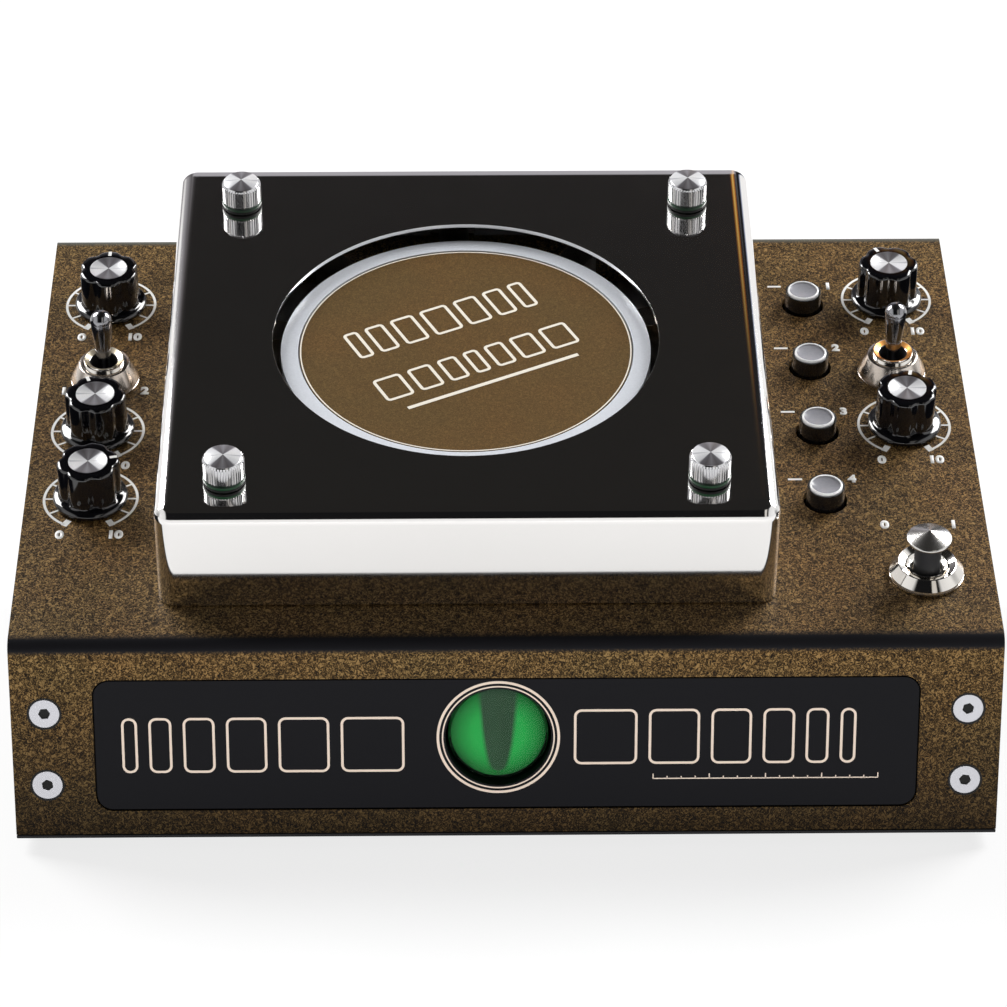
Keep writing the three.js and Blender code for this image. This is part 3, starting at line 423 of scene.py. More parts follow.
def spunAluminium(name, centre, groove=0.15):
    # Aluminium faced on a lathe, with a painted highlight: two bright sectors, left and right, painted by angle
    # where its circular grooves would gather the light
    material, shader = newMaterial(name, Metallic=0.3, Roughness=0.3)
    place = addNode(material, "Mapping", {"Vector": objectPlace(material), "Location": -Vector(centre)})
    across = addNode(material, "VectorMath", {0: place, 1: (1, 0, 0)}, operation="DOT_PRODUCT")
    along = addNode(material, "VectorMath", {0: place, 1: tuple(panelUp)}, operation="DOT_PRODUCT")
    angle = addNode(material, "Math", {0: along, 1: across}, operation="ARCTAN2")
    turns = addNode(material, "Math", {0: angle, 1: math.pi}, operation="PINGPONG")  # 0 right, pi left
    fromSide = addNode(material, "Math", {0: turns, 1: math.pi / 2}, operation="PINGPONG")
    share = addNode(material, "Math", {0: fromSide, 1: math.pi / 2}, operation="DIVIDE")
    # painted highlight: bright sectors left and right, darker ones front and back
    paintedSectorHighlights = addNode(material, "ValToRGB", {"Fac": share}, stops=[
        (0.0, "#b9b9bd"), (0.03, "#e9e9ec"), (0.09, "#ffffff"), (0.5, "#f2f2f4"), (0.6, "#77757a"),
        (0.8, "#6a6668"), (1.0, "#8e8c90")])
    away = addNode(material, "VectorMath", {0: place}, operation="LENGTH")
    grooves = addNode(material, "TexNoise", {"W": away, "Scale": 1 / (groove * mm), "Detail": 2.0},
                      noise_dimensions="1D")
    cut = addNode(material, "Mix", {0: grooves, 6: toLinear("#d6d6d8"), 7: toLinear("#ffffff")},
                  data_type="RGBA")
    tone = addNode(material, "Mix", {0: 1.0, 6: paintedSectorHighlights, 7: cut},
                   data_type="RGBA", blend_type="MULTIPLY")
    return feed(material, shader, Base_Color=tone)


enamel = hammeredEnamel("hammeredStovingEnamel", hammerSizes, bends=True)
labelSizes = {"threadSpacing": 0.6, "relief": 0.05, "thread": "#5f4a2a", "field": "#705833", "crest": "#7c633a"}
labelEnamel = hammeredEnamel("hammeredLabelEnamel", {**hammerSizes, **labelSizes}, gloss=0.5)
mirrorSteel = wornMetal("mirrorPolishedSteel", "#f1efed", 0.07, grain=9, spread=0.012, shade=0.98)
chromePlate = wornMetal("chromedBrass", "#eeeae4", 0.07, grain=3, spread=0.02, shade=0.97)
leverPlate = wornMetal("polishedNickelPlate", "#98989c", 0.16, grain=3, spread=0.02, shade=0.97)
turnedChrome = wornMetal("turnedChrome", "#dcd9d5", 0.24, grain=0.8, spread=0.03, shade=0.95)
# painted reflection: the two like switch mouths are tinted apart, cream on the left and warm orange on the right
mouthReflectionCream = wornMetal("yellowedNickel", "#dccfb6", 0.3, grain=0.5, spread=0.05, metallic=0.7)
nickelPlate = wornMetal("brushedNickelPlate", "#dcd2c8", 0.2, grain=0.5, spread=0.05)
mouthReflectionWarm = wornMetal("brassPlate", "#e8a050", 0.3, grain=0.5, spread=0.05, metallic=0.6)
satinAlloy = wornMetal("satinTurnedAlloy", "#d4d6da", 0.34, grain=0.9, spread=0.1, shade=0.8)
rimAlloy = wornMetal("brightTurnedRim", "#e9edf4", 0.42, grain=0.7, spread=0.08, shade=0.84, metallic=0.3)
zincPlate = wornMetal("brightZincPlate", "#b4b6b9", 0.36, grain=0.8, spread=0.1)
stainlessSteel = wornMetal("stainlessFastener", "#dcdce2", 0.4, grain=0.3, spread=0.1, shade=0.85, metallic=0.5)
sinteredBronze = wornMetal("sinteredBronze", "#9a6b3a", 0.45, grain=0.3)
blackSteel = mouldedPlastic("satinBlackPaint", "#131315", 0.5, grain=0.6, relief=0.02)
blackPhenolic = mouldedPlastic("glossBlackPhenolic", "#050508", 0.09, grain=1.5, relief=0.003, index=1.75)
blackAbs = mouldedPlastic("mouldedBlackAbs", "#08080a", 0.14, index=1.75)
blackNylon = mouldedPlastic("mattBlackNylon", "#1c1c1e", 0.55)
blackRubber = mouldedPlastic("mouldedRubber", "#0d0d0d", 0.7, grain=0.4, relief=0.03)
frontLacquer = mouldedPlastic("blackLacqueredPlate", "#09090d", 0.35, grain=0.5, relief=0.004, gloss=0.15)
greyAcrylic = mouldedPlastic("smokedAcrylicCap", "#97979d", 0.16, grain=0.8, relief=0.004)
# painted highlight: a pale ring standing in for the bright rim of each cap
rimHighlightAcrylic = mouldedPlastic("paleAcrylicRim", "#f6f6f6", 0.2, grain=0.8, relief=0.004)
greenFibre = mouldedPlastic("greenFibreWasher", "#0b3019", 0.4)
circuitBoard = mouldedPlastic("circuitBoardLaminate", "#1d5b34", 0.45)
whiteInk = printedInk("whiteScreenPrint", "#f4f3f0")
goldInk = printedInk("goldScreenPrint", "#efdccb")
creamInk = printedInk("creamScreenPrint", "#f1e9da")
print("materials:", len(bpy.data.materials))


# Console
shell = smoothCopy("chassis_shell", "console_shell")
dress(shell, enamel, "chassis", "hammered", ["chassis_shell"])
for side in ("left", "right"):
    end = smoothCopy(f"{side}_end_panel", f"console_end_{side}")
    dress(end, enamel, "chassis", "hammered", [f"{side}_end_panel"])
base = smoothCopy("base_plate", "console_base")
dress(base, blackSteel, "chassis", "black_steel", ["base_plate"])

footSizes = {"radius": 7.0, "groundRadius": 6.2, "height": 4.0, "hole": 2.2, "holeDepth": 2.4}
foot = turn("foot", [(0, footSizes["holeDepth"]), (footSizes["hole"], footSizes["holeDepth"]),
                     (footSizes["hole"], 0),
                     (footSizes["groundRadius"], 0), (footSizes["radius"], footSizes["height"]),
                     (0, footSizes["height"])], 48, 0.3)
for corner in ("front_left", "front_right", "rear_left", "rear_right"):
    spot = middle(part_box(f"foot_{corner}"))
    rubberFoot = settle(copyOf(foot, f"rubber_foot_{corner}"), Matrix.Translation((spot.x, spot.y, 0)))
    dress(smooth(rubberFoot), blackRubber, "chassis", "rubber", [f"foot_{corner}"])
clearBench(foot)
print("console made")

# Drum cover and thumb nuts
coverSizes = {
    "sheet": 1.2,
    "corner": 5.2,  # upright edges
    "edge": 4.2,  # between the top and the walls
    "crown": (1.5, 0.14),  # the top rises a little more inside its rolled edge: way in and rise
    "windowRadius": 56.8,
    "windowEdge": 0.55,  # polished chamfer round the window
    "studHole": 3.4,
    "punch": 6,  # how far the tool of a hole reaches below and above the top
    "seat": 0.3,
}
coverLow, coverHigh = panelBox("drum_cover")
drumMiddle = middle(panelBox("drum"))
nutNames = [f"thumb_nut_{corner}" for corner in ("front_left", "front_right", "rear_left", "rear_right")]
coverMiddle = middle((coverLow, coverHigh))


def makeCover(sizes):
    width, length = (coverHigh.x - coverLow.x) / mm, (coverHigh.y - coverLow.y) / mm
    top = coverHigh.z / mm
    inset, rise = sizes["crown"]
    rolled = top - rise
    cover = plate("polished_cover", width, length, sizes["corner"], sizes["seat"], rolled, segments=10)
    pick(cover, "polygons", lambda face: face.normal.z < -0.9)
    bpy.ops.mesh.delete(type="FACE")
    leave()
    corners, brim = cover.data.vertices, (rolled - 0.01) * mm
    pick(cover, "edges", lambda edge: all(corners[index].co.z > brim for index in edge.vertices))
    bpy.ops.mesh.bevel(offset=sizes["edge"] * mm, segments=12)
    leave()
    pick(cover, "polygons", lambda face: face.normal.z > 0.999 and face.area > 0.01)
    extrudeBy(0, 0, rise * mm)
    shares = [1 - 2 * inset / (side - 2 * sizes["edge"]) for side in (width, length)]
    bpy.ops.transform.resize(value=(*shares, 1), center_override=(0, 0, 0))
    leave()
    applied(cover, "SOLIDIFY", thickness=sizes["sheet"] * mm, offset=-1, use_even_offset=True)
    for name, x, way, radius in [("window", drumMiddle.x, drumMiddle.y, sizes["windowRadius"])] + [
        (node, *middle(panelBox(node)).xy, sizes["studHole"]) for node in nutNames
    ]:
        steps = 160 if name == "window" else 48
        low, high = top - sizes["punch"], top + sizes["punch"]
        hole = turn(name, [(0, low), (radius, low), (radius, high), (0, high)], steps)
        settle(hole, Matrix.Translation((x - coverMiddle.x, way - coverMiddle.y, 0)))
        carve(cover, hole)
    soften(cover, sizes["windowEdge"], segments=3, angle=60)
    smooth(cover, 30)
    return settle(cover, onPanel(coverMiddle.x, coverMiddle.y))


dress(makeCover(coverSizes), mirrorSteel, "cover", "polished", ["drum_cover"])

nutSizes = {
    "ridges": 42,
    "ridgeDepth": 0.32,
    "radius": 5.9,
    "rubber": 0.8,  # black under the green
    "washer": 1.6,
    "washerRadius": 6.0,
    "height": 9.2,
    "crown": 0.9,
    "crownRadius": 5.25,
    "bore": 3.3,
    "floor": 1.6,
}


def makeThumbNut(sizes):  # a knurled barrel, bevelled at both ends
    low, shoulder, floor = sizes["washer"], sizes["height"] - sizes["crown"], sizes["height"] - sizes["floor"]
    inner, radius, bore = sizes["radius"] - 0.5, sizes["radius"], sizes["bore"]
    outline = [(0, floor), (bore, floor), (bore, low), (inner, low), (inner, low + 0.3), (radius, low + 0.6),
               (radius, shoulder - 0.75), (inner + 0.1, shoulder - 0.3), (inner - 0.1, shoulder), (0, shoulder)]
    nut = turn("knurled_nut", outline, 4 * sizes["ridges"])
    step = math.pi / (2 * sizes["ridges"])
    pick(nut, "vertices", lambda vertex: round(math.atan2(vertex.co.y, vertex.co.x) / step) % 4 in (0, 1)
         and vertex.co.xy.length > (radius - 0.01) * mm)
    share = (radius - sizes["ridgeDepth"]) / radius
    bpy.ops.transform.resize(value=(share, share, 1), center_override=(0, 0, 0))
    leave()
    return smooth(nut, 25, weighted=False)


def makeCrown(sizes):  # the turned end, a shallow cone
    shoulder, radius = sizes["height"] - sizes["crown"], sizes["crownRadius"]
    outline = [(0, shoulder - 0.1), (radius, shoulder - 0.1), (radius, shoulder + 0.2),
               (radius - 0.25, shoulder + 0.35), (0, sizes["height"])]
    return lathe("crown", outline, 96, 40)


def makeWasher(name, low, high, sizes):
    radius, bore = sizes["washerRadius"], sizes["bore"]
    return smooth(turn(name, [(bore, low), (radius, low), (radius, high), (bore, high), (bore, low)], 64, 0.15))


nutAlloy = wornMetal("knurledNutAlloy", "#e2e2e4", 0.16, grain=0.6, spread=0.05)
knurledNut, crown = makeThumbNut(nutSizes), makeCrown(nutSizes)
fibre = makeWasher("fibre", nutSizes["rubber"], nutSizes["washer"], nutSizes)
rubber = makeWasher("rubber", 0, nutSizes["rubber"], nutSizes)
for node in nutNames:
    place = overNode(node, panelBox(node)[0].z)
    fitCopy(knurledNut, f"knurled_{node}", place, nutAlloy, node, "zinc", [node])
    corner = node.removeprefix("thumb_nut_")
    crownMetal = spunAluminium(f"turnedCrown_{corner}", place @ Vector((0, 0, nutSizes["height"] * mm)))
    fitCopy(crown, f"crown_{corner}", place, crownMetal, node, "zinc")
    fitCopy(fibre, f"washer_{corner}", place, greenFibre, node, "zinc")
    fitCopy(rubber, f"seat_{corner}", place, blackRubber, node, "zinc")
clearBench(knurledNut, crown, fibre, rubber)
print("cover and thumb nuts made")

# Drum and its label
drumSizes = {
    "hub": 10.0,
    "bore": 3.3,
    "bottom": 8.0,
    "top": 29.1,
    "hubBottom": 5.3,
    "radius": 54.5,
    "labelRadius": 49.0,
    "labelGap": 0.4,
    "labelTop": 28.9,
    "labelThickness": 0.8,
    "labelSeat": 0.3,
    "track": (11.0, 25.0, 0.25),  # the recording wire lies in a shallow band round the rim: low, high and depth
}


def makeDrum(sizes):
    rim, inner = sizes["radius"], sizes["labelRadius"] + sizes["labelGap"]
    bore, hub, foot, top = sizes["bore"], sizes["hub"], sizes["hubBottom"], sizes["top"]
    pocket = sizes["labelTop"] - sizes["labelThickness"] - sizes["labelSeat"]
    low, high, depth = sizes["track"]
    outline = [(bore, foot), (hub, foot), (hub, sizes["bottom"]), (rim, sizes["bottom"]), (rim, low),
               (rim - depth, low), (rim - depth, high), (rim, high), (rim, top), (inner, top), (inner, pocket),
               (bore, pocket), (bore, foot)]
    drum = turn("magnetic_drum", outline, 180)
    soften(drum, 0.4, angle=50)
    return settle(smooth(drum), onPanel(drumMiddle.x, drumMiddle.y))


dress(makeDrum(drumSizes), rimAlloy, "drum", "silver", ["drum"])
labelRadius, labelTop = drumSizes["labelRadius"], drumSizes["labelTop"]
labelLow = labelTop - drumSizes["labelThickness"]
label = turn("label_disc", [(0, labelLow), (labelRadius, labelLow), (labelRadius, labelTop), (0, labelTop)],
             180, 0.12)
settle(smooth(label), onPanel(drumMiddle.x, drumMiddle.y))
dress(label, labelEnamel, "drum", "label", ["drum_label"])


# Printed marks
inkSizes = {
    "thickness": 0.05,
    "lift": 0.02,
    "weight": 0.3,  # added round each digit's lines
    "digitShare": 0.72,  # a digit's height, of its type size
}


def inked(piece, place):  # a flat outline becomes a thin layer of ink on the surface below it
    applied(piece, "SOLIDIFY", thickness=inkSizes["thickness"] * mm, offset=1)
    return settle(piece, place @ Matrix.Translation((0, 0, inkSizes["lift"] * mm)))


def printOn(place, piece, ink=whiteInk, body="chassis", slot="hammered"):
    return dress(inked(piece, place), ink, body, slot)


def printedArc(name, inner, outer, start, sweep, steps=96):
    deselect()
    bpy.ops.mesh.primitive_plane_add(size=mm)
    arc = named(name)
    edit()
    bpy.ops.mesh.merge(type="CENTER")
    x, y = math.cos(math.radians(start)), math.sin(math.radians(start))
    bpy.ops.transform.translate(value=(inner * x * mm, inner * y * mm, 0))
    extrudeBy((outer - inner) * x * mm, (outer - inner) * y * mm, 0)
    bpy.ops.mesh.select_all(action="SELECT")
    bpy.ops.mesh.spin(steps=steps, angle=-math.radians(sweep), center=(0, 0, 0), axis=(0, 0, 1))
    tidyFaces()
    leave()
    return faceUp(arc)


def faceUp(piece):
    if sum(face.normal.z for face in piece.data.polygons) < 0:
        choose(piece)
        edit()
        bpy.ops.mesh.flip_normals()
        leave()
    return piece


def printedBar(name, x, y, width, length, turned=0.0):  # placed, then turned about the middle
    bar = plate(name, width, length, 0, 0, 0)
    place = Matrix.Rotation(math.radians(turned), 4, "Z") @ Matrix.Translation((x * mm, y * mm, 0))
    return settle(bar, place)


def printedFrame(name, x, width, height, corner, line):  # an outlined upright bar with rounded corners
    bar = plate(name, width, height, corner, 0, 0, segments=6)
    choose(bar)
    edit("FACE")
    bpy.ops.mesh.inset(thickness=line * mm)
    bpy.ops.mesh.delete(type="FACE")
    leave()
    return settle(bar, Matrix.Translation((x * mm, 0, 0)))


def lettering(name, text, height, x, y):  # plain numbers
    deselect()
    bpy.ops.object.text_add()
    words = bpy.context.object
    words.data.body = text
    words.data.size = height * mm / inkSizes["digitShare"]
    words.data.offset = inkSizes["weight"] * mm
    words.data.align_x = words.data.align_y = "CENTER"
    bpy.ops.object.convert(target="MESH")
    return settle(named(name), Matrix.Translation((x * mm, y * mm, 0)))


def positionMarks(name, texts, numbers):  # a number at each side of a switch
    across, up, height = numbers
    places = zip(texts, (-across, across))
    return merge(name, *[lettering(text, text, height, x, up) for text, x in places])


scaleSizes = {
    "outer": 14.0,
    "line": 0.78,
    "tickInner": 10.6,
    "tickWidth": 0.62,
    "ticks": 11,
    "open": 60,  # degrees left open towards the user
    "endWidth": 1.9,
    "endInner": 11.4,
    "endOuter": 14.2,
    "numberHeight": 3.3,
    "numberDrop": 16.6,
    "numberSpread": 8.0,
}


def makeScale(sizes):
    sweep = 360 - sizes["open"]
    start = -90 + sizes["open"] / 2
    marks = [printedArc("ring", sizes["outer"] - sizes["line"], sizes["outer"], start, sweep)]
    for index in range(sizes["ticks"]):
        angle = start + index * sweep / (sizes["ticks"] - 1)
        end = index in (0, sizes["ticks"] - 1)
        inner, outer, width = sizes["tickInner"], sizes["outer"] - sizes["line"] / 2, sizes["tickWidth"]
        if end:
            inner, outer, width = sizes["endInner"], sizes["endOuter"], sizes["endWidth"]
        marks.append(printedBar(f"tick{index}", (inner + outer) / 2, 0, outer - inner, width, angle))
    for text, side in (("0", -1), ("10", 1)):
        x, y = side * sizes["numberSpread"], -sizes["numberDrop"]
        marks.append(lettering(f"number{text}", text, sizes["numberHeight"], x, y))
    return merge("knob_scale", *marks)


knobNames = ["knob_left_1", "knob_left_2", "knob_left_3", "knob_right_1", "knob_right_2"]
knobScale = makeScale(scaleSizes)
for node in knobNames:
    printOn(overNode(node), copyOf(knobScale, f"scale_{node}"))
clearBench(knobScale)

labelPrint = {
    "rows": [(16.0, 13.0, [4.8, 6.2, 7.6, 9.0, 7.6, 6.2, 4.8]),
             (-7.0, 11.0, [9.0, 7.6, 6.2, 4.8, 6.2, 7.6, 9.0])],
    "gap": 2.2,
    "line": 0.95,
    "corner": 1.4,
    "ruler": (-17.8, 56, 1.3),
    "turn": 27,
    "edgeLine": 0.4,
    "edgeInset": 0.15,
}


def makeBars(widths, gap, height, corner, line):
    total = sum(widths) + gap * (len(widths) - 1)
    x = -total / 2
    bars = []
    for index, width in enumerate(widths):
        bars.append(printedFrame(f"bar{index}", x + width / 2, width, height, corner, line))
        x += width + gap
    return merge("bars", *bars)


def makeLabelPrint(sizes):
    place = onPanel(drumMiddle.x, drumMiddle.y, labelTop * mm, sizes["turn"])
    rows = []
    for way, height, widths in sizes["rows"]:
        bars = makeBars(widths, sizes["gap"], height, sizes["corner"], sizes["line"])
        rows.append(settle(bars, Matrix.Translation((0, way * mm, 0))))
    height, length, line = sizes["ruler"]
    rows.append(printedBar("rule", 0, height, length, line))
    outer = labelRadius - sizes["edgeInset"]
    edge = printedArc("edge", labelRadius - sizes["edgeLine"] - sizes["edgeInset"], outer, 0, 360, 180)
    return inked(merge("label_print", edge, *rows), place)


dress(makeLabelPrint(labelPrint), creamInk, "drum", "label")
print("drum, label and scales made")

# Rotary knobs
knobSizes = {
    "flutes": 6,
    "fluteSteps": 24,
    "fluteDepth": 1.0,
    "fluteNarrow": 3,  # the ridges are wider than the flutes
    "radius": 9.15,
    "top": 14.3,
    "skirtRadius": 11.0,
    "skirtLow": 0.6,
    "skirtHigh": 2.4,
    "inlayRadius": 5.7,
    "inlayDepth": 0.4,
    "shoulder": [(0.12, 0.9), (0.22, 0.55), (0.45, 0.22), (0.85, 0.04), (1.3, 0)],  # in from the side and down
    "shaft": 3.0,
    "shaftLow": -9.0,
    "hollow": 7.3,
    "hollowTop": 5.0,
    "pointer": (1.0, 2.2, 0.7),  # width, length and its distance from the inlay
    "turns": {"left_1": 0, "left_2": 20, "left_3": -77, "right_1": 26, "right_2": -12},  # of the pointers
}


def makeKnob(sizes):  # a fluted body on a polished skirt, hollow below, with its shaft
    top, radius, skirt = sizes["top"], sizes["radius"], sizes["skirtRadius"]
    shaft, hollow, low, high = sizes["shaft"], sizes["hollow"], sizes["skirtLow"], sizes["skirtHigh"]
    recess = sizes["inlayRadius"] + 0.1
    outline = [(0, sizes["shaftLow"]), (shaft, sizes["shaftLow"]), (shaft, sizes["hollowTop"]),
               (hollow, sizes["hollowTop"]), (hollow, low), (skirt - 0.2, low), (skirt, low + 0.3),
               (skirt, high - 1.0), (skirt - 0.15, high - 0.6), (skirt - 0.5, high - 0.25), (radius + 0.9, high),
               (radius + 0.35, high + 0.15), (radius + 0.08, high + 0.5), (radius, high + 1.1)]
    outline += [(radius - way, top - drop) for way, drop in sizes["shoulder"]]
    outline += [(recess, top), (recess, top - 0.5), (0, top - 0.5)]
    steps = sizes["flutes"] * sizes["fluteSteps"]
    knob = turn("knob", outline, steps)
    foot, reach = (high + 0.2) * mm, (radius - 1.4) * mm
    for index in range(sizes["fluteSteps"]):  # sinks each line of the flutes by its own share
        dip = ((1 - math.cos(math.tau * index / sizes["fluteSteps"])) / 2) ** sizes["fluteNarrow"]
        share = 1 - sizes["fluteDepth"] * dip / radius
        if share > 0.999:
            continue

        def onLine(vertex):
            line = round(math.atan2(vertex.co.x, vertex.co.y) * steps / math.tau) % sizes["fluteSteps"]
            return line == index and vertex.co.z > foot and vertex.co.xy.length > reach

        pick(knob, "vertices", onLine)
        bpy.ops.transform.resize(value=(share, share, 1), center_override=(0, 0, 0))
        leave()
    return smooth(knob, 40, weighted=False)


knobBody = makeKnob(knobSizes)
knobTop, inlayRadius = knobSizes["top"], knobSizes["inlayRadius"]
inlayLow = knobTop - knobSizes["inlayDepth"]
inlay = lathe("inlay", [(0, inlayLow), (inlayRadius, inlayLow), (inlayRadius, knobTop),
                        (inlayRadius - 0.4, knobTop), (inlayRadius - 0.5, knobTop - 0.08), (0, knobTop - 0.08)],
              96, 60)
for node in knobNames:
    end = node.removeprefix("knob_")
    place = overNode(node, 0, knobSizes["turns"][end])
    face = place @ Matrix.Translation((0, 0, knobTop * mm))
    fitCopy(knobBody, f"body_{node}", place, blackPhenolic, node, "black_gloss", [node])
    spun = spunAluminium(f"spunInlay_{end}", face.translation)
    fitCopy(inlay, f"inlay_{node}", place, spun, node, "black_gloss")
    width, length, away = knobSizes["pointer"]
    pointer = printedBar(f"pointer_{node}", 0, inlayRadius + away + length / 2, width, length)
    printOn(face, pointer, whiteInk, node, "black_gloss")
clearBench(knobBody, inlay)
print("knobs made")

# Toggle switches
switchSizes = {  # of the bypass switch too
    "pitch": 0.6,  # of the bush's thread
    "caseTop": -2.3,  # under the panel
    "case": 0.6,  # its corners
    "lug": (1.8, 0.8, 3.4),  # width, thickness and length
}
toggleSizes = {
    "pivot": 1.5,
    "neck": 1.9,
    "tip": 3.3,
    "top": 25.7,
    "tipLength": 3.4,
    "ball": 3.8,
    "bush": 6.0,
    "bushTop": 8.4,
    "bore": 4.3,
    "boreFloor": -3.5,
    "nutRadius": 10.25,
    "nutTopRadius": 7.65,
    "nutHeight": 6.8,
    "nutBore": 6.3,
    "nutDish": 0.0,
    "case": (13, 21, 13.6),
    "liner": 4.05,
    "mouth": 5.7,
    "numbers": (12.2, -5.5, 3.3),  # across, up the panel and height
}


def makeLever(sizes):
    ball, neck, tip = sizes["ball"], sizes["neck"], sizes["tip"]
    bush, top = sizes["bushTop"] - sizes["pivot"], sizes["top"] - sizes["pivot"]
    shoulder, dome = top - sizes["tipLength"], sizes["tipLength"] - 0.1
    ballTurns, domeTurns = [[math.radians(a) for a in range(*span)] for span in ((20, 150, 12), (10, 90, 10))]
    outline = [(0, -ball)] + [(ball * math.sin(a), -ball * math.cos(a)) for a in ballTurns]
    outline += [(neck, math.sqrt(ball**2 - neck**2) + 0.1), (neck, bush - 1), (neck + 0.15, bush + 0.2),
                (neck + 0.4, bush + 1.5), (tip - 0.5, shoulder - 6), (tip - 0.22, shoulder - 3),
                (tip - 0.12, shoulder - 0.25), (tip - 0.18, shoulder - 0.1), (tip, shoulder + 0.05)]
    outline += [(tip * math.cos(a), shoulder + 0.1 + dome * math.sin(a)) for a in domeTurns] + [(0, top)]
    return lathe("lever", outline, 64, 50)


def makeDressNut(name, sizes):  # a cone with a double foot ring
    bore, radius, topRadius, height = [
        sizes[key] for key in ("nutBore", "nutRadius", "nutTopRadius", "nutHeight")
    ]
    outline = [(bore, 0.3), (radius, 0.3), (radius, 0.72), (radius - 0.28, 0.86), (radius - 0.28, 1.05),
               (radius - 0.02, 1.2), (radius - 0.1, 1.6), (topRadius + 0.12, height - 0.45),
               (topRadius - 0.12, height - 0.1), (topRadius - 0.35, height), (bore, height - sizes["nutDish"]),
               (bore, 0.3)]
    return lathe(name, outline, 96, 25)


def makeBush(name, sizes):  # threaded bush over the switch's own body
    radius, bore, top, floor = [sizes[key] for key in ("bush", "bore", "bushTop", "boreFloor")]
    (width, length, depth), caseTop, pitch = sizes["case"], switchSizes["caseTop"], switchSizes["pitch"]
    outline = [(0, floor), (bore, floor), (bore, top - 1.0), (bore + 1.45, top - 0.08), (bore + 1.5, top),
               (radius - 0.1, top), (radius, top - 0.25)]
    height = top - pitch
    while height > 0.2:
        outline += [(radius, height), (radius - pitch / 2, height - pitch / 2)]
        height -= pitch
    outline += [(radius, 0.0), (radius, caseTop - 0.1), (0, caseTop - 0.1)]
    bush = lathe(name, outline, 64, 40)
    low = caseTop - depth
    case = soften(plate("case", width, length, switchSizes["case"], low, caseTop), 0.3)
    lugWidth, lugThickness, lugLength = switchSizes["lug"]
    lugs = []
    for shift in (-length / 3, 0, length / 3):
        lug = plate("lug", lugWidth, lugThickness, 0, low - lugLength, low + 0.2)
        lugs.append(settle(lug, Matrix.Translation((0, shift * mm, 0))))
    return merge(name, bush, case, *lugs)


def makeLiner(sizes):  # black inside of a bush
    outer, inner, top, floor = sizes["bore"] - 0.02, sizes["liner"], sizes["bushTop"] - 1.0, sizes["boreFloor"]
    outline = [(0, floor + 0.1), (outer, floor + 0.1), (outer, top), (inner, top), (inner, floor + 0.4),
               (0, floor + 0.4)]
    return lathe("liner", outline, 64, 40)


def makeMouth(sizes):  # the chamfer in which a bush ends
    inner, outer, top = sizes["bore"] + 0.05, sizes["mouth"], sizes["bushTop"]
    outline = [(inner, top - 0.85), (outer, top - 0.12), (outer, top - 0.02), (inner, top - 0.75),
               (inner, top - 0.85)]
    return smooth(turn("mouth", outline, 64), 40)


lever, liner, mouth = makeLever(toggleSizes), makeLiner(toggleSizes), makeMouth(toggleSizes)
toggleNut, toggleBush = makeDressNut("dress_nut", toggleSizes), makeBush("toggle_bush", toggleSizes)
# painted reflection tints: cream mouth on the left, orange on the right
for side, mouthMetal in (("left", mouthReflectionCream), ("right", mouthReflectionWarm)):
    node = f"toggle_lever_{side}"
    place, pivot = overNode(node), overNode(node, toggleSizes["pivot"] * mm)
    fitCopy(toggleBush, f"bush_{side}", place, chromePlate, "chassis", "chrome", [f"toggle_switch_{side}"])
    fitCopy(toggleNut, f"dress_nut_{side}", place, nickelPlate, "chassis", "chrome", [f"toggle_nut_{side}"])
    fitCopy(lever, f"lever_{side}", pivot, leverPlate, node, "chrome", [node])
    fitCopy(liner, f"liner_{side}", place, blackRubber, "chassis", "chrome")
    fitCopy(mouth, f"mouth_{side}", place, mouthMetal, "chassis", "chrome")
    if side == "left":
        printOn(place, positionMarks("positions_left", "12", toggleSizes["numbers"]))
clearBench(lever, liner, mouth, toggleNut, toggleBush)
print("toggle switches made")

# Bypass switch
bypassSizes = {
    "capRadius": 6.5,
    "capLow": 12.6,
    "capRim": 1.0,
    "capTop": 16.0,
    "stem": 3.65,
    "stemLow": -4.0,
    "collar": (0.15, 1.0, 11.1),  # thickness, low and high
    "bush": 6.0,
    "bushTop": 3.7,
    "bore": 4.3,
    "boreFloor": -6.9,
    "case": (17, 17, 20.6),
    "nutRadius": 10.7,
    "nutTopRadius": 8.5,
    "nutHeight": 4.4,
    "nutBore": 6.3,
    "nutDish": 1.0,
    "numbers": (10.0, 22.0, 3.3),  # across, up the panel and height
}


def makePlunger(sizes):  # a mushroom with a coned top
    cap, stem, low, top = [sizes[key] for key in ("capRadius", "stem", "capLow", "capTop")]
    rim = low + sizes["capRim"]
    outline = [(0, sizes["stemLow"]), (stem, sizes["stemLow"]), (stem, low - 1.4), (stem + 0.15, low - 0.8),
               (stem + 0.8, low - 0.25), (cap - 0.5, low), (cap - 0.1, low + 0.2), (cap, low + 0.5),
               (cap - 0.1, rim - 0.1), (cap - 0.4, rim + 0.12), (0.6, top - 0.22), (0, top)]
    return lathe("bypass_mushroom", outline, 96, 40)


def makeCollar(sizes):  # a black sleeve on the stem
    stem, (thickness, low, high) = sizes["stem"], sizes["collar"]
    outline = [(stem, low), (stem + thickness, low), (stem + thickness, high), (stem, high), (stem, low)]
    return smooth(turn("bypass_collar", outline, 64))


bypassPlace = overNode("bypass_plunger")
dress(settle(makePlunger(bypassSizes), bypassPlace), turnedChrome, "bypass_plunger", "chrome",
      ["bypass_plunger"])
dress(settle(makeCollar(bypassSizes), bypassPlace), blackNylon, "bypass_plunger", "chrome")
bypassNut = makeDressNut("bypass_dress_nut", bypassSizes)
dress(settle(bypassNut, bypassPlace), chromePlate, "chassis", "chrome", ["bypass_nut"])
bypassBush = makeBush("bypass_bush", bypassSizes)
dress(settle(bypassBush, bypassPlace), chromePlate, "chassis", "chrome", ["bypass_switch"])
printOn(bypassPlace, positionMarks("bypass_positions", "01", bypassSizes["numbers"]))

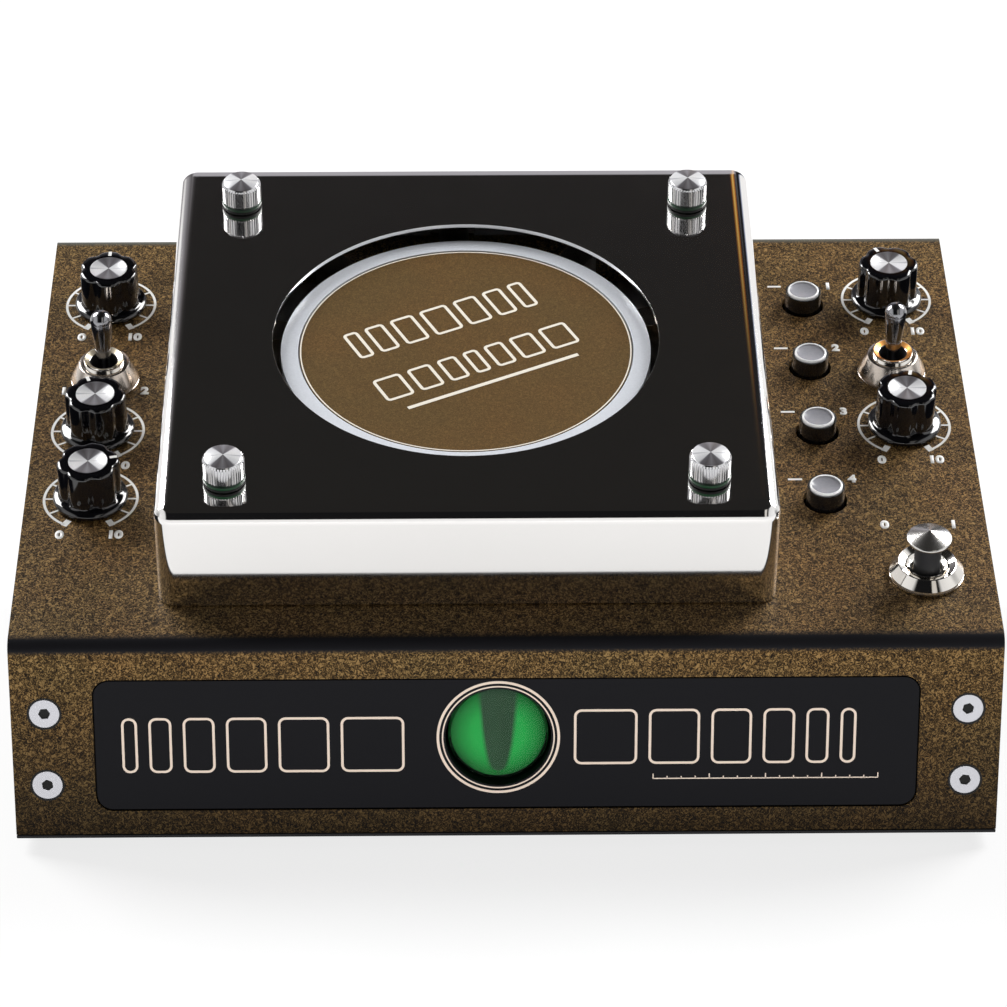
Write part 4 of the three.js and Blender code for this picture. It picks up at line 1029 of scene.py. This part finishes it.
# Playback push buttons
buttonSizes = {
    "radius": 4.85,
    "low": 2.4,
    "top": 5.9,
    "rim": 0.6,
    "digit": (3.1, 8.6, 9.7),  # height, across and up the panel
    "dash": (-8.2, 9.7, 4.2, 0.8),  # across, up, width and line
    "housing": 5.65,
    "housingTop": 5.5,
    "housingHeight": 5.4,
    "housingLow": -7,
    "bore": 5.15,
    "boreFloor": 0.5,
    "board": (-8.3, -6.7),  # low and high
}


def makeButtonModels(sizes):  # a dished cap, a pale ring on its rim as a painted highlight, and its housing
    low, top, radius, edge = sizes["low"], sizes["top"], sizes["radius"], sizes["radius"] - sizes["rim"]
    wall, mouth, height, foot = [sizes[key] for key in ("housing", "housingTop", "housingHeight", "housingLow")]
    bore, floor = sizes["bore"], sizes["boreFloor"]
    cap = [(0, low), (radius - 0.1, low), (radius - 0.1, top - 0.7), (edge, top - 0.3),
           (radius - 2.2, top - 0.75), (0, top - 0.85)]
    rim = [(radius - 0.05, top - 1.6), (radius, top - 0.35), (radius - 0.25, top - 0.05), (radius - 0.6, top),
           (edge, top - 0.2), (edge - 0.15, top - 0.6), (radius - 0.05, top - 1.6)]
    tube = [(bore, floor), (bore, height - 0.2), (bore + 0.2, height), (mouth - 0.2, height),
            (mouth, height - 0.25),
            (wall, 0.4), (wall, foot), (0, foot), (0, floor), (bore, floor)]
    models = (("button_cap", cap, 50), ("button_rim", rim, 60), ("button_housing", tube, 40))
    return [smooth(turn(name, outline, 64), angle) for name, outline, angle in models]


buttonCap, buttonHighlightRim, housing = makeButtonModels(buttonSizes)
housings = []
for index in range(1, 5):
    node = f"playback_button_{index}"
    place = overNode(node)
    fitCopy(buttonCap, f"cap_{index}", place, greyAcrylic, node, "grey_cap", [node])
    fitCopy(buttonHighlightRim, f"cap_rim_{index}", place, rimHighlightAcrylic, node, "grey_cap")
    housings.append(settle(copyOf(housing, f"housing_{index}"), place))
    digit = lettering("number", str(index), *buttonSizes["digit"])
    printOn(place, merge(f"digit_{index}", digit, printedBar("dash", *buttonSizes["dash"])))
boardLow, boardHigh = panelBox("playback_switch_board")
boardMiddle = middle((boardLow, boardHigh))
width, length = [side / mm for side in (boardHigh - boardLow).xy]
board = plate("button_board", width, length, 1, *buttonSizes["board"])
housings.append(settle(board, onPanel(boardMiddle.x, boardMiddle.y)))
dress(merge("playback_housings", *housings), blackAbs, "chassis", "black_matte", ["playback_switch_board"])
clearBench(buttonCap, buttonHighlightRim, housing)
print("switches and buttons made")

# Front plate, level eye and front screws
plateSizes = {
    "corner": 4.5,
    "edge": 0.5,
    "eyeHole": 15.0,
    "thickness": 3.3,
    "flange": (2.4, 1.2),  # its reach behind the opening's edge and its thickness
}
plateLow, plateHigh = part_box("front_plate")
plateMiddle = middle((plateLow, plateHigh))
eyeLow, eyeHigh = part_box("eye_tube")
eyeX, eyeZ = middle((eyeLow, eyeHigh)).x, middle((eyeLow, eyeHigh)).z
plateFace = plateLow.y  # the lacquered face


def onFront(x, z, y=plateFace):
    return Matrix.Translation((x, y, z)) @ frontTurn


def makeFrontPlate(sizes):
    (flange, sheet), corner, back = sizes["flange"], sizes["corner"], -sizes["thickness"]
    width, height = [side / mm - 2 * flange for side in (plateHigh - plateLow).xz]
    face = plate("lacquered_plate", width, height, corner, back, 0)
    rear = plate("rear_rim", width + 2 * flange, height + 2 * flange, corner + flange, back, back + sheet)
    carve(face, rear, "UNION")
    hole = turn("eye_hole", [(0, -9), (sizes["eyeHole"], -9), (sizes["eyeHole"], 3), (0, 3)], 96)
    settle(hole, Matrix.Translation((eyeX - plateMiddle.x, eyeZ - plateMiddle.z, 0)))
    carve(face, hole)
    soften(face, sizes["edge"], segments=3, angle=50)
    return settle(smooth(face), onFront(plateMiddle.x, plateMiddle.z))


dress(makeFrontPlate(plateSizes), frontLacquer, "chassis", "black_gloss", ["front_plate"])

frontPrint = {
    "widths": [4.5, 6.5, 9.0, 11.5, 14.5, 18.0],  # from the plate's end to the eye
    "gap": 3.2,
    "height": 17.2,
    "corner": 2.2,
    "line": 0.72,
    "leftMiddle": -66.6,
    "rightMiddle": 61.4,
    "outerRing": (16.75, 17.5),
    "innerRing": (15.6, 16.0),
    "ruler": {"x": 44.0, "drop": 13.2, "length": 64.0, "height": 1.5, "line": 0.32, "ticks": 17},
}


def makeFrontPrint(sizes):
    def bars(widths):
        return makeBars(widths, sizes["gap"], sizes["height"], sizes["corner"], sizes["line"])

    left = settle(bars(sizes["widths"]), Matrix.Translation((sizes["leftMiddle"] * mm, 0, 0)))
    right = settle(bars(sizes["widths"][::-1]), Matrix.Translation((sizes["rightMiddle"] * mm, 0, 0)))
    rings = [printedArc("ring", *sizes[key], 0, 360, 128) for key in ("outerRing", "innerRing")]
    ruler = sizes["ruler"]
    rule = [printedBar("rule", ruler["x"] + ruler["length"] / 2, -ruler["drop"], ruler["length"],
                       ruler["line"])]
    for index in range(ruler["ticks"]):
        x = ruler["x"] + index * ruler["length"] / (ruler["ticks"] - 1)
        height = ruler["height"] if index % 4 == 0 else ruler["height"] / 2
        rule.append(printedBar(f"tick{index}", x, -ruler["drop"] + height / 2, ruler["line"], height))
    settle(left, Matrix.Translation((0, plateMiddle.z - eyeZ, 0)))
    return inked(merge("front_print", left, right, *rings, *rule), onFront(eyeX, eyeZ))


dress(makeFrontPrint(frontPrint), goldInk, "chassis", "black_gloss")

eyeSizes = {
    "glass": 14.2,
    "glassDepth": 1.4,
    "screen": 13.4,
    "screenDepth": 1.6,
    "base": (15.5, 13),  # radius and height
    "wedgeHalf": 5.5,  # half width of the dark wedge at the top
    "wedgePower": 0.3,
    "wedgeFoot": -11.9,  # its rounded tip, from the middle
    "softness": 0.7,
    "glow": 0.35,
    "green": "#1f8040",
    "deepGreen": "#0f4a20",
    "wedge": "#26382c",
}


def phosphorScreen(sizes):
    # Phosphor of a level tube: green glow, with a dark wedge whose sides close towards the bottom
    material, shader = newMaterial("greenPhosphor", Roughness=0.6, Specular_IOR_Level=0.05,
                                   Emission_Strength=sizes["glow"])
    centre = Vector((eyeX, 0, eyeZ))
    place = addNode(material, "Mapping", {"Vector": objectPlace(material), "Location": -centre})
    parts = addNode(material, "SeparateXYZ", {0: place})
    across = addNode(material, "Math", {0: parts.outputs["X"]}, operation="ABSOLUTE")
    rise = addNode(material, "MapRange",
                   {"Value": parts.outputs["Z"], "From Min": sizes["wedgeFoot"] * mm,
                    "From Max": sizes["screen"] * mm})
    curve = addNode(material, "Math", {0: rise, 1: sizes["wedgePower"]}, operation="POWER")
    half = addNode(material, "Math", {0: curve, 1: sizes["wedgeHalf"] * mm}, operation="MULTIPLY")
    inside = addNode(material, "Math", {0: half, 1: across}, operation="SUBTRACT")
    mask = addNode(material, "MapRange",
                   {"Value": inside, "From Min": -sizes["softness"] * mm, "From Max": sizes["softness"] * mm})
    radius = addNode(material, "VectorMath", {0: place, 1: (1, 0, 1)}, operation="MULTIPLY")
    away = addNode(material, "VectorMath", {0: radius}, operation="LENGTH")
    fall = addNode(material, "MapRange", {"Value": away, "From Max": sizes["screen"] * mm})
    glow = addNode(material, "ValToRGB", {"Fac": fall},
                   stops=[(0.55, sizes["green"]), (1.0, sizes["deepGreen"])])
    both = addNode(material, "Mix", {0: mask, 6: glow, 7: toLinear(sizes["wedge"])}, data_type="RGBA")
    return feed(material, shader, Base_Color=both, Emission_Color=both)


def clearGlass():
    # Blown glass over the screen: clear and bright, with a hint of green
    material, shader = newMaterial("tubeGlass", Roughness=0.02, Transmission_Weight=1.0, IOR=1.16)
    noise = addNode(material, "TexNoise", {"Vector": objectPlace(material), "Scale": 60.0})
    tint = addNode(material, "Mix", {0: noise, 6: toLinear("#e4f5e6"), 7: toLinear("#f2fbf2")},
                   data_type="RGBA")
    return feed(material, shader, Base_Color=tint)


def makeEye(sizes):
    top, back = [(plateFace - corner.y) / mm for corner in (eyeLow, eyeHigh)]  # behind the plate's face
    (base, rise), screen, screenTop = sizes["base"], sizes["screen"], top - sizes["screenDepth"]
    tube = turn("eye_screen", [(0, back), (base, back), (base, back + rise), (screen, back + rise),
                               (screen, screenTop), (0, screenTop)], 96, 0.1)
    settle(smooth(tube), onFront(eyeX, eyeZ))
    dress(tube, phosphorScreen(sizes), "chassis", "eye_glass", ["eye_tube"])
    radius, low = sizes["glass"], top - sizes["glassDepth"]
    glass = lathe("eye_glass", [(0, low), (radius, low), (radius, top - 1.0), (radius - 0.5, top - 0.45),
                                (radius - 2, top - 0.2), (radius / 2, top - 0.03), (0, top)], 96, 60)
    settle(glass, onFront(eyeX, eyeZ))
    dress(glass, clearGlass(), "chassis", "eye_glass")


makeEye(eyeSizes)

screwSizes = {
    "head": 4.4,
    "depth": 1.9,
    "thread": 2.5,
    "length": 12,
    "flats": 3.0,
    "socketDepth": 1.6,
    "edge": 0.12,
    "seatRing": (-0.1, 0.5),  # painted shade: a dark line round the head, in the countersink's gap, from its edge
    "floor": (0.03, 0.85),  # painted shade: a black hexagon deep in a socket, its play and depth
    "turns": {"left_lower": 8, "left_upper": 34, "right_lower": 21, "right_upper": 47},
}


def hexagon(name, radius, depth):
    deselect()
    bpy.ops.mesh.primitive_cylinder_add(vertices=6, radius=radius, depth=depth)
    return named(name)


def makeScrew(sizes):  # countersunk, with a hexagon socket
    head, thread, low, neck = sizes["head"], sizes["thread"], -sizes["length"], -sizes["depth"]
    outline = [(0, low), (thread, low), (thread, neck), (head, -0.15), (head - 0.15, 0), (0, 0)]
    screw = turn("screw", outline, 64)
    carve(screw, hexagon("socket", sizes["flats"] * mm / math.sqrt(3), 2 * sizes["socketDepth"] * mm))
    soften(screw, sizes["edge"], angle=40)
    return smooth(screw, 30)


screw = makeScrew(screwSizes)
for end, spin in screwSizes["turns"].items():
    node = f"front_screw_{end}"
    spot = middle(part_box(node))
    place = onFront(spot.x, spot.z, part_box(node)[0].y)
    spun = place @ Matrix.Rotation(math.radians(spin), 4, "Z")
    fitCopy(screw, f"socket_screw_{end}", spun, stainlessSteel, "chassis", "zinc", [node])
    # painted shade: a black ring round each head
    inner, outer = [screwSizes["head"] + way for way in screwSizes["seatRing"]]
    printOn(place, printedArc(f"countersink_{end}", inner, outer, 0, 360, 64), blackRubber)
    # painted shade: a black hexagon at the bottom of each socket
    play, depth = screwSizes["floor"]
    shade = hexagon(f"socket_floor_{end}", screwSizes["flats"] * mm / math.sqrt(3) - play * mm, mm)
    dress(settle(shade, spun @ Matrix.Translation((0, 0, -depth * mm))), blackRubber, "chassis", "zinc")
clearBench(screw)
print("front made")

# Pieces inside and behind, on their CAD shapes
insideFinishes = {
    "eye_tube_socket": (blackAbs, "black_matte"),
    "deck_plate": (satinAlloy, "silver"),
    "drum_spindle": (nickelPlate, "silver"),
    "spindle_bearing": (sinteredBronze, "bronze"),
    "drum_motor": (zincPlate, "zinc"),
    "motor_pulley": (satinAlloy, "silver"),
    "drive_belt": (blackRubber, "rubber"),
    **dict.fromkeys(["erase_head", "record_head_1", "record_head_2"], (nickelPlate, "zinc")),
    **dict.fromkeys([f"playback_head_{index}" for index in range(1, 5)], (nickelPlate, "zinc")),
    **dict.fromkeys(["left_pot_board", "right_pot_board", "main_board"], (circuitBoard, "board")),
    **dict.fromkeys(["input_jack", "output_jack", "power_inlet"], (blackNylon, "black_matte")),
}
owners = {member: body for body,
          members in frame["record"]["behaviour"]["bodies"].items() for member in members}
for node, (finish, slot) in insideFinishes.items():
    piece = smoothCopy(node, f"{node}_finished", bevel=0.15)
    dress(piece, finish, owners[node], slot, [node])
print("inside made")

# Rear sockets: turned nuts and plain numbers
rearSizes = {
    "socket": (4.65, 6.8),  # bore and radius of its nut
    "inlet": (5.6, 7.8),
    "height": 2.6,
    "number": (4.0, 0, 10.5),
}
for node, text, kind in (("input_jack", "1", "socket"), ("output_jack", "2", "socket"),
                         ("power_inlet", "0", "inlet")):
    (bore, radius), height = rearSizes[kind], rearSizes["height"]
    spot = middle(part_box(node))
    place = Matrix.Translation((spot.x, rearY, spot.z)) @ rearTurn
    outline = [(bore, 0), (radius, 0), (radius, height - 0.4), (radius - 0.5, height), (bore, height), (bore, 0)]
    nut = turn(f"nut_{node}", outline, 48)
    dress(settle(smooth(nut), place), nickelPlate, "chassis", "chrome")
    printOn(place, lettering(f"rear_number_{node}", text, *rearSizes["number"]))

# Camera, floor and light
viewSizes = {"lens": 144.88, "sensor": 36.0, "side": -14.07, "away": 1037.84, "height": 528.73, "tilt": 67.866,
             "roll": 0.028, "pan": -0.738}
studioSizes = {
    "floor": 6.0,  # metres
    "floorColours": ("#7a7a7a", "#808080"),
    "floorLift": 0.79,  # added where the floor is seen or mirrored, so that it reads white
    "paintedReflectionFront": (-0.115, -0.095),  # painted reflection: only for mirrors, the floor turns dark in a band, which fades in and out here
    "paintedReflectionRear": (0.3, 0.4),
    "paintedReflectionColour": "#1a1a1c",
    "ambient": 0.14,
    # what metal mirrors from left to right: white boards, dark between them, a warm streak on the right
    "sides": [
        (-1.0, "#9a9a9a"), (-0.9, "#e8e8e8"), (-0.58, "#ffffff"), (-0.55, "#a2a0a4"), (-0.42, "#7e7c80"),
        (-0.22, "#4c494a"), (-0.12, "#242222"), (0.09, "#242222"), (0.105, "#c06c08"), (0.13, "#ffd878"),
        (0.15, "#c06c08"), (0.17, "#1c1a1a"), (0.4, "#1c1c20"), (0.44, "#8a94b0"), (0.5, "#ffffff"),
        (0.94, "#f0f0f0"), (1.0, "#9a9a9a"),
    ],
    "front": [  # towards the viewer it mirrors a dark room with one bright window
        (-1.0, "#ffffff"), (-0.62, "#e8e8e8"), (-0.5, "#161617"), (0.19, "#161617"), (0.22, "#d8d4ce"),
        (0.4, "#d8d4ce"), (0.43, "#161617"), (0.5, "#161617"), (0.62, "#e8e8e8"), (1.0, "#ffffff"),
    ],
    "overhead": [(0.76, "#000000"), (0.8, "#ffffff")],  # by height: dark above the boards
    "overheadColour": "#232221",
    "boardColour": "#e4e2ea",  # of a pale board straight behind the unit
    "boardEnds": (0.26, 0.16),  # it fades between these, to both sides
    "frontFade": (-0.05, -0.25),
    "rearFade": (0.0, 0.2),
    "horizon": [(0.725, "#c4c0cc"), (0.76, "#000000")],  # by height, towards the rear: pale low down
    "lamps": {  # name: place, aim, width and height in metres, watts
        "leftSoftbox": ((-0.95, 0.55, 0.95), (0, 0, 0.08), 0.7, 0.7, 22.4),
        "rightSoftbox": ((0.95, 0.55, 0.95), (0, 0, 0.08), 0.7, 0.7, 22.4),
        # lies below the slope's own plane
        "frontFill": ((0.0, -0.31, 0.012), (0, -0.097, 0.16), 0.8, 0.012, 1.06),
    },
}


def makeCamera(sizes):
    data = bpy.data.cameras.new("photoView")
    data.lens = sizes["lens"]
    data.sensor_width = sizes["sensor"]
    data.clip_end = 30
    camera = bpy.data.objects.new("photoView", data)
    bpy.context.scene.collection.objects.link(camera)
    camera.location = (sizes["side"] * mm, frontY - sizes["away"] * mm, sizes["height"] * mm)
    camera.rotation_euler = [math.radians(sizes[key]) for key in ("tilt", "roll", "pan")]
    bpy.context.scene.camera = camera


def seenOrMirrored(tree):  # 1 for rays from the camera, a mirror or a glass
    path = addNode(tree, "LightPath")
    some = addNode(tree, "Math", {0: path.outputs["Is Camera Ray"], 1: path.outputs["Is Glossy Ray"]},
                   operation="MAXIMUM")
    return addNode(tree, "Math", {0: some, 1: path.outputs["Is Transmission Ray"]}, operation="MAXIMUM")


def makeWorld(sizes):
    world = bpy.data.worlds.new("whiteStudio")
    bpy.context.scene.world = world
    world.use_nodes = True
    world.node_tree.nodes.clear()
    toward = addNode(world, "TexCoord")
    parts = addNode(world, "SeparateXYZ", {0: toward.outputs["Generated"]})
    across = addNode(world, "MapRange", {"Value": parts.outputs["X"], "From Min": -1.0})
    stops = {key: [((x + 1) / 2, colour) for x, colour in sizes[key]] for key in ("sides", "front")}
    boards = addNode(world, "ValToRGB", {"Fac": across}, stops=stops["sides"])
    facing = addNode(world, "ValToRGB", {"Fac": across}, stops=stops["front"])
    before, behind = [addNode(world, "MapRange",
                              {"Value": parts.outputs["Y"], "From Min": none, "From Max": full})
                      for none, full in (sizes["frontFade"], sizes["rearFade"])]
    around = addNode(world, "Mix", {0: before, 6: boards, 7: facing}, data_type="RGBA")
    above = addNode(world, "ValToRGB", {"Fac": parts.outputs["Z"]}, stops=sizes["overhead"])
    capped = addNode(world, "Mix", {0: above, 6: around, 7: toLinear(sizes["overheadColour"])},
                     data_type="RGBA")
    level = addNode(world, "ValToRGB", {"Fac": parts.outputs["Z"]}, stops=sizes["horizon"])
    aside = addNode(world, "Math", {0: parts.outputs["X"]}, operation="ABSOLUTE")
    outer, inner = sizes["boardEnds"]
    inward = addNode(world, "MapRange", {"Value": aside, "From Min": outer, "From Max": inner})
    depth = addNode(world, "Math", {0: behind, 1: inward}, operation="MULTIPLY")
    rear = addNode(world, "Math", {0: level, 1: depth}, operation="MULTIPLY")
    mirrored = addNode(world, "Mix", {0: rear, 6: capped, 7: toLinear(sizes["boardColour"])}, data_type="RGBA")
    path = addNode(world, "LightPath")
    white = addNode(world, "Background", {"Color": (1, 1, 1, 1), "Strength": 1.0})
    room = addNode(world, "Background", {"Color": mirrored, "Strength": 1.0})
    plain = addNode(world, "Background", {"Color": (1, 1, 1, 1), "Strength": sizes["ambient"]})
    glossy = addNode(world, "MixShader", {0: path.outputs["Is Glossy Ray"], 1: plain, 2: room})
    either = addNode(world, "Math", {0: path.outputs["Is Camera Ray"], 1: path.outputs["Is Transmission Ray"]},
                     operation="MAXIMUM")
    seen = addNode(world, "MixShader", {0: either, 1: glossy, 2: white})
    addNode(world, "OutputWorld", {"Surface": seen})


def makeFloor(sizes):
    deselect()
    bpy.ops.mesh.primitive_plane_add(size=sizes["floor"])
    floor = named("studio_floor")
    material, shader = newMaterial("paleFloor", Roughness=0.9, Specular_IOR_Level=0.0,
                                   Emission_Color=(1, 1, 1, 1))
    noise = addNode(material, "TexNoise", {"Vector": objectPlace(material), "Scale": 3.0})
    low, high = sizes["floorColours"]
    tone = addNode(material, "Mix", {0: noise, 6: toLinear(low), 7: toLinear(high)}, data_type="RGBA")
    lift = addNode(material, "Math", {0: seenOrMirrored(material), 1: sizes["floorLift"]}, operation="MULTIPLY")
    depth = addNode(material, "SeparateXYZ", {0: objectPlace(material)}).outputs["Y"]
    # painted reflection: mirrors alone see the floor dark in this band
    (bandStart, bandFull), (bandFade, bandEnd) = sizes["paintedReflectionFront"], sizes["paintedReflectionRear"]
    paintedReflectionRise = addNode(material, "MapRange", {"Value": depth, "From Min": bandStart, "From Max": bandFull})
    ends = addNode(material, "MapRange",
                   {"Value": depth, "From Min": bandFade, "From Max": bandEnd, "To Min": 1.0, "To Max": 0.0})
    glossy = addNode(material, "LightPath").outputs["Is Glossy Ray"]
    paintedReflectionBand = addNode(material, "Math", {0: paintedReflectionRise, 1: ends}, operation="MULTIPLY")
    mirrored = addNode(material, "Math", {0: paintedReflectionBand, 1: glossy}, operation="MULTIPLY")
    dark = addNode(material, "Mix", {0: mirrored, 6: tone, 7: toLinear(sizes["paintedReflectionColour"])}, data_type="RGBA")
    bare = addNode(material, "Math", {0: 1.0, 1: mirrored}, operation="SUBTRACT")
    glow = addNode(material, "Math", {0: lift, 1: bare}, operation="MULTIPLY")
    feed(material, shader, Base_Color=dark, Emission_Strength=glow)
    floor.data.materials.append(material)


def makeLamps(sizes):
    for name, (place, aim, width, height, watts) in sizes["lamps"].items():
        data = bpy.data.lights.new(name, "AREA")
        data.shape = "RECTANGLE"
        data.size, data.size_y, data.energy = width, height, watts
        lamp = bpy.data.objects.new(name, data)
        bpy.context.scene.collection.objects.link(lamp)
        lamp.location = place
        lamp.rotation_euler = (Vector(aim) - Vector(place)).to_track_quat("-Z", "Y").to_euler()
        lamp.visible_glossy = name != "frontFill"


makeCamera(viewSizes)
makeWorld(studioSizes)
makeFloor(studioSizes)
makeLamps(studioSizes)
bpy.context.scene.view_settings.view_transform = "Standard"

bpy.context.view_layer.update()
